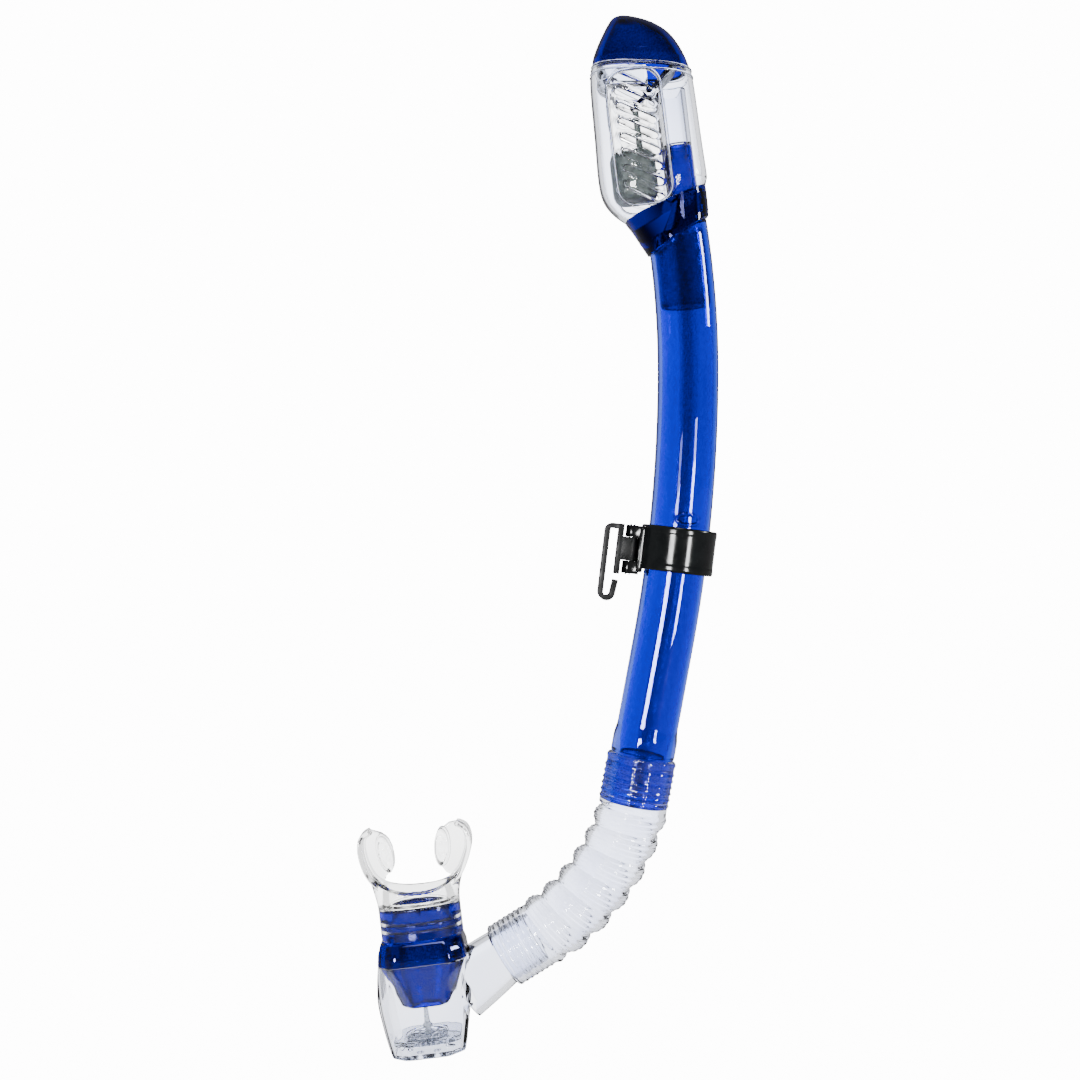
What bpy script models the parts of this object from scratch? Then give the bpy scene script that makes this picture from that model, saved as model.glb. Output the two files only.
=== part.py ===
"""Dry-top snorkel for Blender 4.5.

A J-shaped breathing tube: a float-valve dry top, a curved barrel, a corrugated elbow hose,
a purge chamber with a mouthpiece, and a keeper that hooks onto a mask strap.

The J lies in the XZ plane, +Z up. The origin is the middle of the keeper's strap slot.
Every length in this file is in millimetres; MM turns it into metres where vertices are made.
"""
import math

import bmesh
import bpy
from mathutils import Matrix, Vector

MM = 0.001
GAP = 0.3                         # clearance between neighbouring pieces

# Barrel: two arcs that meet where the tube stands upright, then a straight lower end
TUBE_OUTER_RADIUS = 12.7
TUBE_BORE_RADIUS = 10.7
UPRIGHT_POINT = (31.9, 77.5)      # x, z of the centreline where it stands upright
UPPER_ARC_RADIUS = 375.0
UPPER_ARC_LENGTH = 56.0           # from the upright point up to the slanted top cut
LOWER_ARC_RADIUS = 625.0
LOWER_LEAN = 10.5                 # degrees, lean of the straight lower end
LOWER_STRAIGHT_LENGTH = 47.6
FLARE_RADIUS = 13.4
FLARE_LENGTH = 6.0
FLARE_BAND_LENGTH = 7.0
TOP_CUT_OVERRUN = 14.0            # the centreline starts this far above the top cut
HOSE_SPIGOT_RADIUS = 11.2
HOSE_SPIGOT_RIDGE = 0.5
HOSE_SPIGOT_LENGTH = 20.5
HOSE_SPIGOT_BORE = 9.3
HOSE_SPIGOT_RIDGES = (5.0, 11.0, 17.0)     # distances below the shoulder
STOP_LUG_HALF = (5.2, 1.7, 2.7)   # raised oval that stops the keeper
STOP_LUG_ABOVE_KEEPER = 12.9
STOP_LUG_ACROSS = 1.7
STOP_LUG_SINK = 0.4

# Elbow hose: cuff, short lead-in, long bend, cuff
HOSE_CUFF_LENGTH = 21.0
HOSE_CUFF_RADIUS = 14.4
HOSE_LEAD_IN = (3.5, 6.5)         # length, turn in degrees
HOSE_BEND_RADIUS = 90.0
HOSE_BEND_TURN = 41.0             # degrees
HOSE_END_CUFF_LENGTH = 17.0
HOSE_END_CUFF_RADIUS = 13.7
HOSE_PITCH = 10.95                # one turn of the helical corrugation
HOSE_FIRST_CREST = 1.7            # past the upper cuff, on the outer side of the bend
HOSE_CREST_RADIUS = 14.9
HOSE_VALLEY_RADIUS = 12.6
HOSE_WALL = 1.6
HOSE_RINGS_PER_PITCH = 5

# Dry top, in its own frame: z runs up the housing, which leans to the left
DRY_TOP_POINT = (18.6, 144.2)
DRY_TOP_LEAN = 7.0
HOUSING_WALL = 1.8
HOUSING_SECTIONS = (              # left x, left z, right x, right z, half depth
    (-19.6, 61.8, 21.2, 55.0, 17.0),
    (-21.0, 54.0, 21.7, 47.5, 18.0),
    (-21.8, 32.0, 22.1, 26.5, 18.4),
    (-22.4, 15.0, 22.5, 12.0, 18.4),
    (-21.4, 6.5, 22.1, 9.2, 17.8),
    (-18.0, 0.6, 21.7, 7.8, 16.9),
    (-13.2, -3.9, 21.4, 7.1, 15.6),
)
CAP_SECTIONS = (
    (-19.3, 62.1, 21.0, 55.3, 17.0),
    (-18.5, 65.4, 19.7, 60.6, 16.6),
    (-16.7, 69.2, 17.5, 66.2, 15.2),
    (-14.1, 73.6, 14.0, 71.8, 12.8),
    (-11.2, 78.0, 8.6, 76.4, 9.2),
    (-8.8, 80.8, 3.0, 79.4, 5.4),
    (-6.0, 81.9, -1.8, 81.4, 1.9),
)
CAP_SKIRT_DEPTH = 1.4
CAP_SKIRT_WALL = 1.0
CAP_WALL = 2.0
CAP_CROWN_WALL = 1.2
CAP_SQUARENESS = 2.3
CAP_SKIRT_SQUARENESS = 2.5
COLLAR_SECTIONS = (               # the same columns, from the housing's foot to the barrel
    (-13.2, -4.2, 21.4, 6.8, 15.6),
    (-10.8, -8.4, 21.6, 3.6, 14.9),
    (-7.6, -15.0, 21.6, -2.0, 13.6),
    (-5.6, -18.9, 21.3, -5.3, 13.3),
)
HOUSING_SQUARENESS = 2.6
COLLAR_SQUARENESS = (2.6, 2.4, 2.1, 2.0)
GRILLE_LEFT = -15.3
GRILLE_RIGHT = 6.0
GRILLE_TOP = 54.5
GRILLE_BOTTOM = 6.0
GRILLE_CORNER = 7.0
GRILLE_RECESS = 0.2
SLOT_COUNT = 7
SLOT_PITCH = 6.3
SLOT_HEIGHT = 3.0
SLOT_LENGTH = 18.0
SLOT_FALL = 31.0                  # degrees, each slot falls to the right
FIRST_SLOT = (-4.7, 49.3)

AIR_CENTRE_X = 12.4               # chimney and riser, an oval air channel
AIR_OUTER = (5.4, 9.6)            # half width, half depth
AIR_WALL = 1.3
AIR_SQUARENESS = 3.0
CHIMNEY_TOP = 25.6
RISER_TOP = 47.2
RISER_SKIRT_HEIGHT = 5.6
SPIGOT_LENGTH = 30.0              # dry-top spigot inside the barrel
SPIGOT_BORE_RADIUS = 8.6
PASSAGE_FOOT = (9.0, -13.0)       # where the air channel opens into the spigot
PASSAGE_TILT = 10.0
PASSAGE_SQUARENESS = 2.2

FLAP_PIN = (3.8, 49.5)
FLAP_OPEN_ANGLE = 38.0
FLAP_PIN_RADIUS = 0.9
FLAP_HUB_RADIUS = 2.2
FLAP_HUB_HALF = 4.0
FLAP_PLATE_HALF = (5.0, 8.8)
FLAP_THICKNESS = 1.6
FLAP_ARM_LENGTH = 11.5
FLAP_ARM_HALF_DEPTH = 1.9
SEAL_HALF = (5.2, 9.3)
SEAL_THICKNESS = 0.8
EAR_INNER = 4.5
EAR_THICKNESS = 1.5
EAR_RADIUS = 1.9
EAR_FOOT_LEVELS = (42.0, 46.6)

FLOAT_CENTRE_X = -7.6
FLOAT_SECTIONS = (                # z, half width, half depth
    (24.0, 7.0, 10.2),
    (22.9, 8.7, 12.0),
    (20.6, 9.5, 12.8),
    (8.0, 9.5, 12.8),
    (5.6, 8.7, 12.0),
    (4.2, 6.6, 9.8),
)
STEM_X = -3.6
STEM_RADIUS = 1.3
STEM_SOCKET_Z = 16.0
STEM_TOP = 41.6

# Keeper, in the frame of the barrel where it sits
KEEPER_BELOW_UPRIGHT = 75.3
BAND_HEIGHT = 18.6
BAND_WALL = 2.5
BAND_LIP = 0.4
PIN_X = -19.5
KEEPER_PIN_RADIUS = 1.1
KNUCKLE_RADIUS = 2.7
PIN_CLEAR = 16.4                  # distance from the barrel's axis where the root block ends
KNUCKLE_LEVELS = (-12.0, -6.8, 3.2, 8.2)   # lower knuckle, clip knuckle, upper knuckle
ROOT_HALF_DEPTH = 5.0
PLATE_FACE_X = -25.2
PLATE_THICKNESS = 2.0
PLATE_HALF_DEPTH = 7.0
PLATE_BOTTOM = -12.6
PLATE_TOP = 8.2
SLOT_WIDTH = 3.6
HOOK_THICKNESS = 2.1
HOOK_HALF_DEPTH = 6.0
HOOK_CENTRE_TOP = 7.1
HOOK_TURN_Z = -20.6
HOOK_TURN_RADIUS = 2.5
HOOK_TIP = (-24.2, -15.2)

# Purge chamber and mouthpiece, in their own frame: z runs up the mouthpiece bore
CHAMBER_POINT = (-78.5, -158.2)
CHAMBER_LEAN = 7.0
CHAMBER_SECTIONS = (              # z, left x, right x, half depth
    (-8.8, -19.3, 17.7, 16.5),
    (-16.0, -20.4, 17.6, 16.8),
    (-24.0, -21.0, 16.9, 16.8),
    (-33.0, -20.1, 15.6, 16.5),
    (-41.0, -18.9, 13.9, 16.0),
    (-47.0, -17.6, 12.6, 15.5),
)
CHAMBER_WALL = 2.2
CHAMBER_SQUARENESS = 3.2
STUB_RADIUS = 11.9
STUB_SPIGOT_RADIUS = 10.9
STUB_SPIGOT_LENGTH = 15.5
STUB_REACH = 21.0                 # from the hose's end back into the chamber
STUB_BORE_RADIUS = 9.2
STUB_RIDGES = (11.5, 6.0)         # heights along the stub's spigot
STUB_RIDGE = 0.4
CONNECTOR_SECTIONS = (            # z, left x, right x, half depth, from the spigot down
    (13.6, -14.4, 14.4, 9.8),
    (13.0, -15.2, 15.2, 10.6),
    (11.6, -15.2, 15.2, 10.6),
    (11.2, -14.4, 14.4, 9.8),
    (6.8, -14.4, 14.4, 9.8),
    (6.4, -15.2, 15.2, 10.6),
    (5.4, -15.2, 15.2, 10.6),
    (5.0, -14.4, 14.4, 9.8),
    (0.0, -14.4, 14.4, 9.8),
    (0.0, -17.4, 16.4, 14.2),
    (-4.0, -18.7, 17.4, 16.0),
    (-8.5, -19.3, 17.7, 16.5),
    (-8.5, -16.7, 15.1, 13.9),
    (-14.0, -16.0, 13.6, 13.6),
    (-27.0, -11.7, 9.7, 10.4),
)
CONNECTOR_BORE = (                # z, left x, right x, half depth, from the plug's mouth up
    (-27.0, -9.7, 7.7, 8.4),
    (-14.0, -12.6, 11.4, 9.6),
    (-4.0, -12.2, 12.2, 7.8),
    (13.6, -12.2, 12.2, 7.6),
)
NECK_OUTER = (17.1, 12.6)
NECK_INNER = (15.5, 10.9)
NECK_MOUTH = (12.4, 7.8)
NECK_TOP = 18.6
NECK_STEP = 15.0
NECK_SQUARENESS = 2.4
CONNECTOR_BORE_SQUARENESS = 2.6
ARCH_HALF_WIDTH = 22.3
ARCH_CENTRE_Z = 39.5
ARCH_DROP = 21.0
ARCH_SWEEP = 105.0                # degrees each way from the bottom of the arch
ARCH_THICKNESS = 2.4
ARCH_HALF_HEIGHT = 17.0
ARCH_TIP_HALF_HEIGHT = 9.0
ARCH_STEPS = 28
TAB_CENTRE = (14.6, 34.5)
TAB_HALF = (6.3, 10.8)
TAB_THICKNESS = 3.2
LUG_CENTRE = (11.4, 34.5)
LUG_HALF = (2.4, 7.4)
LUG_HEIGHT = 9.5

PURGE_CENTRE_X = -2.5
SEAT_LEVELS = (-42.0, -40.0)
SEAT_HOLE_RADIUS = 2.5
SEAT_HOLE_CIRCLE = 6.0
SEAT_HOLE_COUNT = 6
VALVE_RADIUS = 9.2
VALVE_THICKNESS = 1.0
VALVE_TAIL_RADIUS = 1.2
VALVE_TAIL_TOP = -29.5
VALVE_BULB = (2.0, -37.9, -36.4)  # radius, lower and upper z
COVER_LEVELS = (-47.0, -45.2)
COVER_HOLE_RADIUS = 1.9
COVER_HOLE_CIRCLE = 9.2
COVER_HOLE_COUNT = 8

RING = 24                         # points round a lofted section
HOSE_RING = 18
ROUND = 20                        # sides of a turned piece
OVERRUN = 1.0                     # how far a cutter runs past the face it cuts


# --- scene helpers ---------------------------------------------------------------------------

def clear_scene():
    for item in list(bpy.data.objects):
        bpy.data.objects.remove(item, do_unlink=True)


def new_collection(name):
    group = bpy.data.collections.new(name)
    bpy.context.scene.collection.children.link(group)
    return group


def plastic(name, color, roughness, transmission=0.0):
    item = bpy.data.materials.new(name)
    item.use_nodes = True
    shader = item.node_tree.nodes["Principled BSDF"]
    shader.inputs["Base Color"].default_value = (*color, 1.0)
    shader.inputs["Roughness"].default_value = roughness
    shader.inputs["Metallic"].default_value = 0.0
    shader.inputs["Transmission Weight"].default_value = transmission
    item.diffuse_color = (*color, 1.0)
    return item


def frame(name, point, lean_left):
    """An empty whose z axis leans to the left by so many degrees."""
    empty = bpy.data.objects.new(name, None)
    empty.location = Vector((point[0], 0.0, point[1])) * MM
    empty.rotation_euler.y = math.radians(-lean_left)
    empty.empty_display_size = 0.01
    PARTS.objects.link(empty)
    return empty


def place(name, mesh, parent, material=None, at=(0.0, 0.0)):
    """Put a mesh in the model. Without a material it is a cutter or a shape to be joined."""
    item = bpy.data.objects.new(name, mesh)
    item.parent = parent
    item.location = Vector((at[0], 0.0, at[1])) * MM
    if material is None:
        CUTTERS.objects.link(item)
        item.hide_render = True
        item.display_type = "WIRE"
    else:
        PARTS.objects.link(item)
        mesh.materials.append(material)
    return item


def boolean(target, tool, operation):
    step = target.modifiers.new(tool.name, "BOOLEAN")
    step.operation = operation
    step.solver = "EXACT"
    step.object = tool
    return step


def finish_mesh(name, work, smooth_angle=35.0):
    """Turn a bmesh into a mesh with outward faces, in metres."""
    bmesh.ops.recalc_face_normals(work, faces=work.faces)
    bmesh.ops.scale(work, vec=(MM, MM, MM), verts=work.verts)
    mesh = bpy.data.meshes.new(name)
    work.to_mesh(mesh)
    work.free()
    mesh.shade_smooth()
    mesh.set_sharp_from_angle(angle=math.radians(smooth_angle))
    return mesh


# --- shapes ----------------------------------------------------------------------------------

def oval(centre_x, centre_z, half_width, half_depth, squareness=2.0, tilt=0.0, count=RING):
    """A closed ring of points: an ellipse, or a rounder rectangle as squareness grows."""
    ring = []
    for step in range(count):
        angle = 2.0 * math.pi * step / count
        across, deep = math.cos(angle), math.sin(angle)
        across = half_width * math.copysign(abs(across) ** (2.0 / squareness), across)
        deep = half_depth * math.copysign(abs(deep) ** (2.0 / squareness), deep)
        x = centre_x + across * math.cos(tilt)
        z = centre_z + across * math.sin(tilt)
        ring.append(Vector((x, deep, z)))
    return ring


def slanted_oval(section, inset, squareness):
    """The ring between a left and a right point, drawn in on every side by inset."""
    left_x, left_z, right_x, right_z, half_depth = section
    tilt = math.atan2(right_z - left_z, right_x - left_x)
    half_width = math.hypot(right_x - left_x, right_z - left_z) / 2.0
    centre = ((left_x + right_x) / 2.0, (left_z + right_z) / 2.0)
    return oval(*centre, half_width - inset, half_depth - inset, squareness, tilt)


def level_oval(section, inset, squareness):
    height, left_x, right_x, half_depth = section
    return slanted_oval((left_x, height, right_x, height, half_depth), inset, squareness)


def skin(name, rings, looped):
    """Join rings in order into one closed body, looped on itself or capped at both ends."""
    work = bmesh.new()
    loops = [[work.verts.new(point) for point in ring] for ring in rings]
    pairs = list(zip(loops, loops[1:]))
    if looped:
        pairs.append((loops[-1], loops[0]))
    else:
        work.faces.new(loops[0])
        work.faces.new(loops[-1])
    for first, second in pairs:
        for step in range(len(first)):
            after = (step + 1) % len(first)
            work.faces.new((first[step], first[after], second[after], second[step]))
    return finish_mesh(name, work)


def box(name, low, high, bevel=0.0):
    work = bmesh.new()
    bmesh.ops.create_cube(work, size=1.0)
    low, high = Vector(low), Vector(high)
    size = high - low
    bmesh.ops.scale(work, vec=size, verts=work.verts)
    bmesh.ops.translate(work, vec=(low + high) / 2.0, verts=work.verts)
    if bevel:
        bmesh.ops.bevel(work, geom=work.edges[:], offset=bevel, segments=2, profile=0.5,
                        affect="EDGES")
    return finish_mesh(name, work)


def rods(name, radius, axis, low, high, centres, sides=ROUND):
    """Round bars of one size between two levels of an axis, one at each centre."""
    work = bmesh.new()
    for centre in centres:
        middle = (low + high) / 2.0
        if axis == "Y":
            turn = Matrix.Rotation(math.radians(90.0), 4, "X")
            spot = Matrix.Translation((centre[0], middle, centre[1]))
        else:
            turn = Matrix.Identity(4)
            spot = Matrix.Translation((centre[0], centre[1], middle))
        bmesh.ops.create_cone(work, cap_ends=True, segments=sides, radius1=radius,
                              radius2=radius, depth=high - low, matrix=spot @ turn)
    return finish_mesh(name, work)


def prism(name, outline, low, high, axis="Y"):
    """A flat outline extruded along Y (outline in x, z) or along Z (outline in x, y)."""
    work = bmesh.new()
    along_y = axis == "Y"
    points = [(a, low, b) if along_y else (a, b, low) for a, b in outline]
    face = work.faces.new([work.verts.new(point) for point in points])
    grown = bmesh.ops.extrude_face_region(work, geom=[face])["geom"]
    moved = [item for item in grown if isinstance(item, bmesh.types.BMVert)]
    length = high - low
    bmesh.ops.translate(work, vec=(0.0, length, 0.0) if along_y else (0.0, 0.0, length), verts=moved)
    return finish_mesh(name, work)


def arc_points(centre, radius, start, end, steps):
    """Points on an arc in the XZ plane, angles in degrees from +X towards +Z."""
    points = []
    for step in range(steps + 1):
        angle = math.radians(start + (end - start) * step / steps)
        points.append((centre[0] + radius * math.cos(angle), centre[1] + radius * math.sin(angle)))
    return points


def rounded_rectangle(left, right, bottom, top, radius, steps=5):
    corners = ((right - radius, top - radius, 0.0), (left + radius, top - radius, 90.0),
               (left + radius, bottom + radius, 180.0), (right - radius, bottom + radius, 270.0))
    outline = []
    for x, z, start in corners:
        outline += arc_points((x, z), radius, start, start + 90.0, steps)
    return outline


def turned(name, profile, parent, material, at=(0.0, 0.0)):
    """A profile of (radius, z) points turned round the z axis with a Screw modifier."""
    work = bmesh.new()
    verts = [work.verts.new((radius * MM, 0.0, height * MM)) for radius, height in profile]
    for first, second in zip(verts, verts[1:]):
        work.edges.new((first, second))
    if profile[0][0] > 0.0:
        work.edges.new((verts[-1], verts[0]))
    mesh = bpy.data.meshes.new(name)
    work.to_mesh(mesh)
    work.free()
    item = place(name, mesh, parent, material, at)
    screw = item.modifiers.new("turn", "SCREW")
    screw.axis = "Z"
    screw.steps = ROUND
    screw.render_steps = ROUND
    screw.use_merge_vertices = True
    screw.merge_threshold = 0.00001
    screw.use_smooth_shade = True
    return item


# --- centrelines -----------------------------------------------------------------------------

class Centreline:
    """A path of arcs and straights in the XZ plane, walked downwards.

    pieces are (length, turn in degrees); lean is the angle from vertical, positive where
    walking down leads to the left.
    """

    def __init__(self, start, lean, pieces):
        self.start = start
        self.lean = math.radians(lean)
        self.pieces = [(length, math.radians(turn)) for length, turn in pieces]
        self.length = sum(length for length, turn in pieces)

    def at(self, distance):
        """Centre x, z and lean (radians) at a distance from the start."""
        x, z = self.start
        lean = self.lean
        left = distance
        for number, (length, turn) in enumerate(self.pieces):
            last = number == len(self.pieces) - 1
            step = left if last else min(left, length)
            bend = turn * step / length
            if abs(bend) > 1e-9:
                radius = step / bend
                x += radius * (math.cos(lean + bend) - math.cos(lean))
                z -= radius * (math.sin(lean + bend) - math.sin(lean))
            else:
                x -= step * math.sin(lean)
                z -= step * math.cos(lean)
            lean += bend
            left -= step
            if left <= 0.0:
                break
        return x, z, lean


def ring_across(centreline, distance, radius_at, count):
    """A ring across the path. radius_at gives the radius at an angle from the outer side."""
    x, z, lean = centreline.at(distance)
    ring = []
    for step in range(count):
        angle = 2.0 * math.pi * step / count
        radius = radius_at(angle)
        across = radius * math.cos(angle)
        ring.append(Vector((x + across * math.cos(lean), radius * math.sin(angle),
                            z - across * math.sin(lean))))
    return ring


def round_bar(name, centreline, stations):
    """A solid round bar along the path, from (distance, radius) stations: a bevelled curve."""
    data = bpy.data.curves.new(name, "CURVE")
    data.dimensions = "3D"
    data.bevel_depth = MM
    data.bevel_resolution = ROUND // 2 - 2
    data.use_fill_caps = True
    spline = data.splines.new("POLY")
    spline.points.add(len(stations) - 1)
    for point, (distance, radius) in zip(spline.points, stations):
        x, z, lean = centreline.at(distance)
        point.co = (x * MM, 0.0, z * MM, 1.0)
        point.radius = radius
    curve = bpy.data.objects.new(name, data)
    CUTTERS.objects.link(curve)
    graph = bpy.context.evaluated_depsgraph_get()
    mesh = bpy.data.meshes.new_from_object(curve.evaluated_get(graph))
    bpy.data.objects.remove(curve)
    work = bmesh.new()
    work.from_mesh(mesh)
    bmesh.ops.remove_doubles(work, verts=work.verts, dist=0.000001)
    bmesh.ops.recalc_face_normals(work, faces=work.faces)
    work.to_mesh(mesh)
    work.free()
    mesh.shade_smooth()
    mesh.set_sharp_from_angle(angle=math.radians(35.0))
    return mesh


def spread(start, end, step):
    """Evenly spaced values from start to end, about step apart."""
    count = max(1, round((end - start) / step))
    return [start + (end - start) * number / count for number in range(count + 1)]


def barrel_centreline():
    """From above the top cut down to the end of the hose spigot."""
    upper = UPPER_ARC_LENGTH + TOP_CUT_OVERRUN
    lean = math.degrees(upper / UPPER_ARC_RADIUS)
    angle = math.radians(lean)
    start = (UPRIGHT_POINT[0] - UPPER_ARC_RADIUS * (1.0 - math.cos(angle)),
             UPRIGHT_POINT[1] + UPPER_ARC_RADIUS * math.sin(angle))
    lower = LOWER_ARC_RADIUS * math.radians(LOWER_LEAN)
    straight = LOWER_STRAIGHT_LENGTH + HOSE_SPIGOT_LENGTH
    return Centreline(start, -lean, ((upper, lean), (lower, LOWER_LEAN), (straight, 0.0)))


def hose_centreline(barrel):
    x, z, lean = barrel.at(shoulder_distance() + GAP)
    bend = HOSE_BEND_RADIUS * math.radians(HOSE_BEND_TURN)
    pieces = ((HOSE_CUFF_LENGTH, 0.0), HOSE_LEAD_IN, (bend, HOSE_BEND_TURN),
              (HOSE_END_CUFF_LENGTH, 0.0))
    return Centreline((x, z), math.degrees(lean), pieces)


def upright_distance():
    return TOP_CUT_OVERRUN + UPPER_ARC_LENGTH


def shoulder_distance():
    """Where the flared band ends and the hose spigot begins."""
    lower = LOWER_ARC_RADIUS * math.radians(LOWER_LEAN)
    return upright_distance() + lower + LOWER_STRAIGHT_LENGTH


# --- barrel ----------------------------------------------------------------------------------

def build_main_tube(barrel, dry_top, material):
    shoulder = shoulder_distance()
    flare_end = shoulder - FLARE_BAND_LENGTH
    flare_start = flare_end - FLARE_LENGTH
    stations = [(distance, TUBE_OUTER_RADIUS) for distance in spread(0.0, flare_start, 12.0)]
    stations.append((flare_end, FLARE_RADIUS))
    stations.append((shoulder - 0.4, FLARE_RADIUS))
    stations.append((shoulder, FLARE_RADIUS - 0.4))
    stations.append((shoulder + 0.1, HOSE_SPIGOT_RADIUS))
    for middle in HOSE_SPIGOT_RIDGES:
        for offset, raised in ((-1.4, 0.0), (-0.9, 1.0), (0.9, 1.0), (1.4, 0.0)):
            radius = HOSE_SPIGOT_RADIUS + HOSE_SPIGOT_RIDGE * raised
            stations.append((shoulder + middle + offset, radius))
    stations.append((shoulder + HOSE_SPIGOT_LENGTH, HOSE_SPIGOT_RADIUS))
    tube = place("main_tube", round_bar("main_tube", barrel, stations), None, material)

    end = shoulder + HOSE_SPIGOT_LENGTH + OVERRUN
    bore = [(distance, TUBE_BORE_RADIUS) for distance in spread(-OVERRUN, flare_end, 14.0)]
    bore.append((shoulder, HOSE_SPIGOT_BORE))
    bore.append((end, HOSE_SPIGOT_BORE))
    cutter = place("tube_bore", round_bar("tube_bore", barrel, bore), None)

    left_x, left_z, right_x, right_z, half_depth = COLLAR_SECTIONS[-1]
    seam = ((left_x + right_x) / 2.0, (left_z + right_z) / 2.0)
    side = 60.0
    block = box("top_cut", (-side, -side, -GAP), (side, side, side))
    top = place("top_cut", block, dry_top, None, seam)
    top.rotation_euler.y = -math.atan2(right_z - left_z, right_x - left_x)

    lug = place("stop_lug", stop_lug_mesh(), keeper_frame(barrel))
    boolean(tube, lug, "UNION")
    boolean(tube, cutter, "DIFFERENCE")
    boolean(tube, top, "DIFFERENCE")
    return tube


def stop_lug_mesh():
    work = bmesh.new()
    bmesh.ops.create_uvsphere(work, u_segments=16, v_segments=10, radius=1.0)
    bmesh.ops.scale(work, vec=STOP_LUG_HALF, verts=work.verts)
    spot = (STOP_LUG_ACROSS, STOP_LUG_SINK - TUBE_OUTER_RADIUS, STOP_LUG_ABOVE_KEEPER)
    bmesh.ops.translate(work, vec=spot, verts=work.verts)
    return finish_mesh("stop_lug", work)


# --- dry top ---------------------------------------------------------------------------------

def housing_wall(name, outer_inset, inner_inset):
    """The housing's wall between two insets, open at the top and at the bottom."""
    rings = [slanted_oval(row, outer_inset, HOUSING_SQUARENESS) for row in HOUSING_SECTIONS]
    inner = [slanted_oval(row, inner_inset, HOUSING_SQUARENESS) for row in HOUSING_SECTIONS]
    return skin(name, rings + inner[::-1], looped=True)


def grille_outline(shrink):
    return rounded_rectangle(GRILLE_LEFT + shrink, GRILLE_RIGHT - shrink,
                             GRILLE_BOTTOM + shrink, GRILLE_TOP - shrink, GRILLE_CORNER - shrink)


def build_housing(parent, material):
    housing = place("dry_top_housing", housing_wall("dry_top_housing", 0.0, HOUSING_WALL),
                    parent, material)
    far = 30.0
    window = place("grille_windows", prism("grille_windows", grille_outline(0.0), -far, far),
                   parent)
    boolean(housing, window, "DIFFERENCE")
    return housing


def slot_outline(centre):
    """A slot with round ends that falls to the right."""
    slope = math.radians(-SLOT_FALL)
    half = (SLOT_LENGTH - SLOT_HEIGHT) / 2.0
    offset = (half * math.cos(slope), half * math.sin(slope))
    right = (centre[0] + offset[0], centre[1] + offset[1])
    left = (centre[0] - offset[0], centre[1] - offset[1])
    radius = SLOT_HEIGHT / 2.0
    return (arc_points(right, radius, -90.0 - SLOT_FALL, 90.0 - SLOT_FALL, 4)
            + arc_points(left, radius, 90.0 - SLOT_FALL, 270.0 - SLOT_FALL, 4))


def build_grille(side, parent, material):
    """One louvred insert: the part of the wall inside the window, with its slots cut."""
    name = "front_grille" if side < 0 else "back_grille"
    near, far = sorted((side * 5.0, side * 30.0))
    wall = housing_wall(name, GRILLE_RECESS, HOUSING_WALL - GRILLE_RECESS)
    panel = place(name, wall, parent, material)
    shape = prism(name + "_outline", grille_outline(GAP), near, far)
    boolean(panel, place(name + "_outline", shape, parent), "INTERSECT")
    for number in range(SLOT_COUNT):
        centre = (FIRST_SLOT[0], FIRST_SLOT[1] - number * SLOT_PITCH)
        label = "%s_slot_%d" % (name, number + 1)
        slot = place(label, prism(label, slot_outline(centre), near, far), parent)
        boolean(panel, slot, "DIFFERENCE")
    return panel


def build_top_cap(parent, material):
    """A hollow asymmetric dome with a short skirt that plugs into the housing."""
    outer = [slanted_oval(row, 0.0, CAP_SQUARENESS) for row in CAP_SECTIONS[::-1]]
    plug = HOUSING_WALL + GAP
    inner_wall = plug + CAP_SKIRT_WALL
    rim = CAP_SECTIONS[0]
    low = (rim[0], rim[1] - CAP_SKIRT_DEPTH, rim[2], rim[3] - CAP_SKIRT_DEPTH, rim[4])
    skirt = [slanted_oval(row, inset, CAP_SKIRT_SQUARENESS) for row, inset in
             ((rim, plug), (low, plug), (low, inner_wall), (rim, inner_wall))]
    inner = []
    for row in CAP_SECTIONS[1:5]:
        lowered = (row[0], row[1] - CAP_CROWN_WALL, row[2], row[3] - CAP_CROWN_WALL, row[4])
        inner.append(slanted_oval(lowered, CAP_WALL, CAP_SQUARENESS))
    return place("top_cap", skin("top_cap", outer + skirt + inner, looped=False), parent, material)


def air_oval(height, grow=0.0):
    return oval(AIR_CENTRE_X, height, AIR_OUTER[0] + grow, AIR_OUTER[1] + grow, AIR_SQUARENESS)


def build_dry_top_base(parent, barrel, material):
    """Collar, chimney and spigot in one piece, with the air passage through them."""
    rings = [slanted_oval(row, 0.0, squareness)
             for row, squareness in zip(COLLAR_SECTIONS, COLLAR_SQUARENESS)]
    base = place("dry_top_base", skin("dry_top_base", rings, looped=False), parent, material)

    chimney = skin("chimney", [air_oval(CHIMNEY_TOP), air_oval(0.0)], looped=False)
    boolean(base, place("chimney", chimney, parent), "UNION")

    radius = TUBE_BORE_RADIUS - GAP
    top = TOP_CUT_OVERRUN - 1.0
    end = TOP_CUT_OVERRUN + SPIGOT_LENGTH
    stations = [(distance, radius) for distance in spread(top, end - 0.6, 9.0)]
    stations.append((end, radius - 0.6))
    boolean(base, place("spigot", round_bar("spigot", barrel, stations), None), "UNION")

    passage = [air_oval(CHIMNEY_TOP + OVERRUN, -AIR_WALL), air_oval(3.0, -AIR_WALL)]
    passage.append(oval(*PASSAGE_FOOT, SPIGOT_BORE_RADIUS, SPIGOT_BORE_RADIUS,
                        PASSAGE_SQUARENESS, math.radians(PASSAGE_TILT)))
    boolean(base, place("air_passage", skin("air_passage", passage, looped=False), parent),
            "DIFFERENCE")
    bore = [(distance, SPIGOT_BORE_RADIUS) for distance in spread(top - 1.0, end + OVERRUN, 9.0)]
    boolean(base, place("spigot_bore", round_bar("spigot_bore", barrel, bore), None), "DIFFERENCE")
    return base


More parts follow.
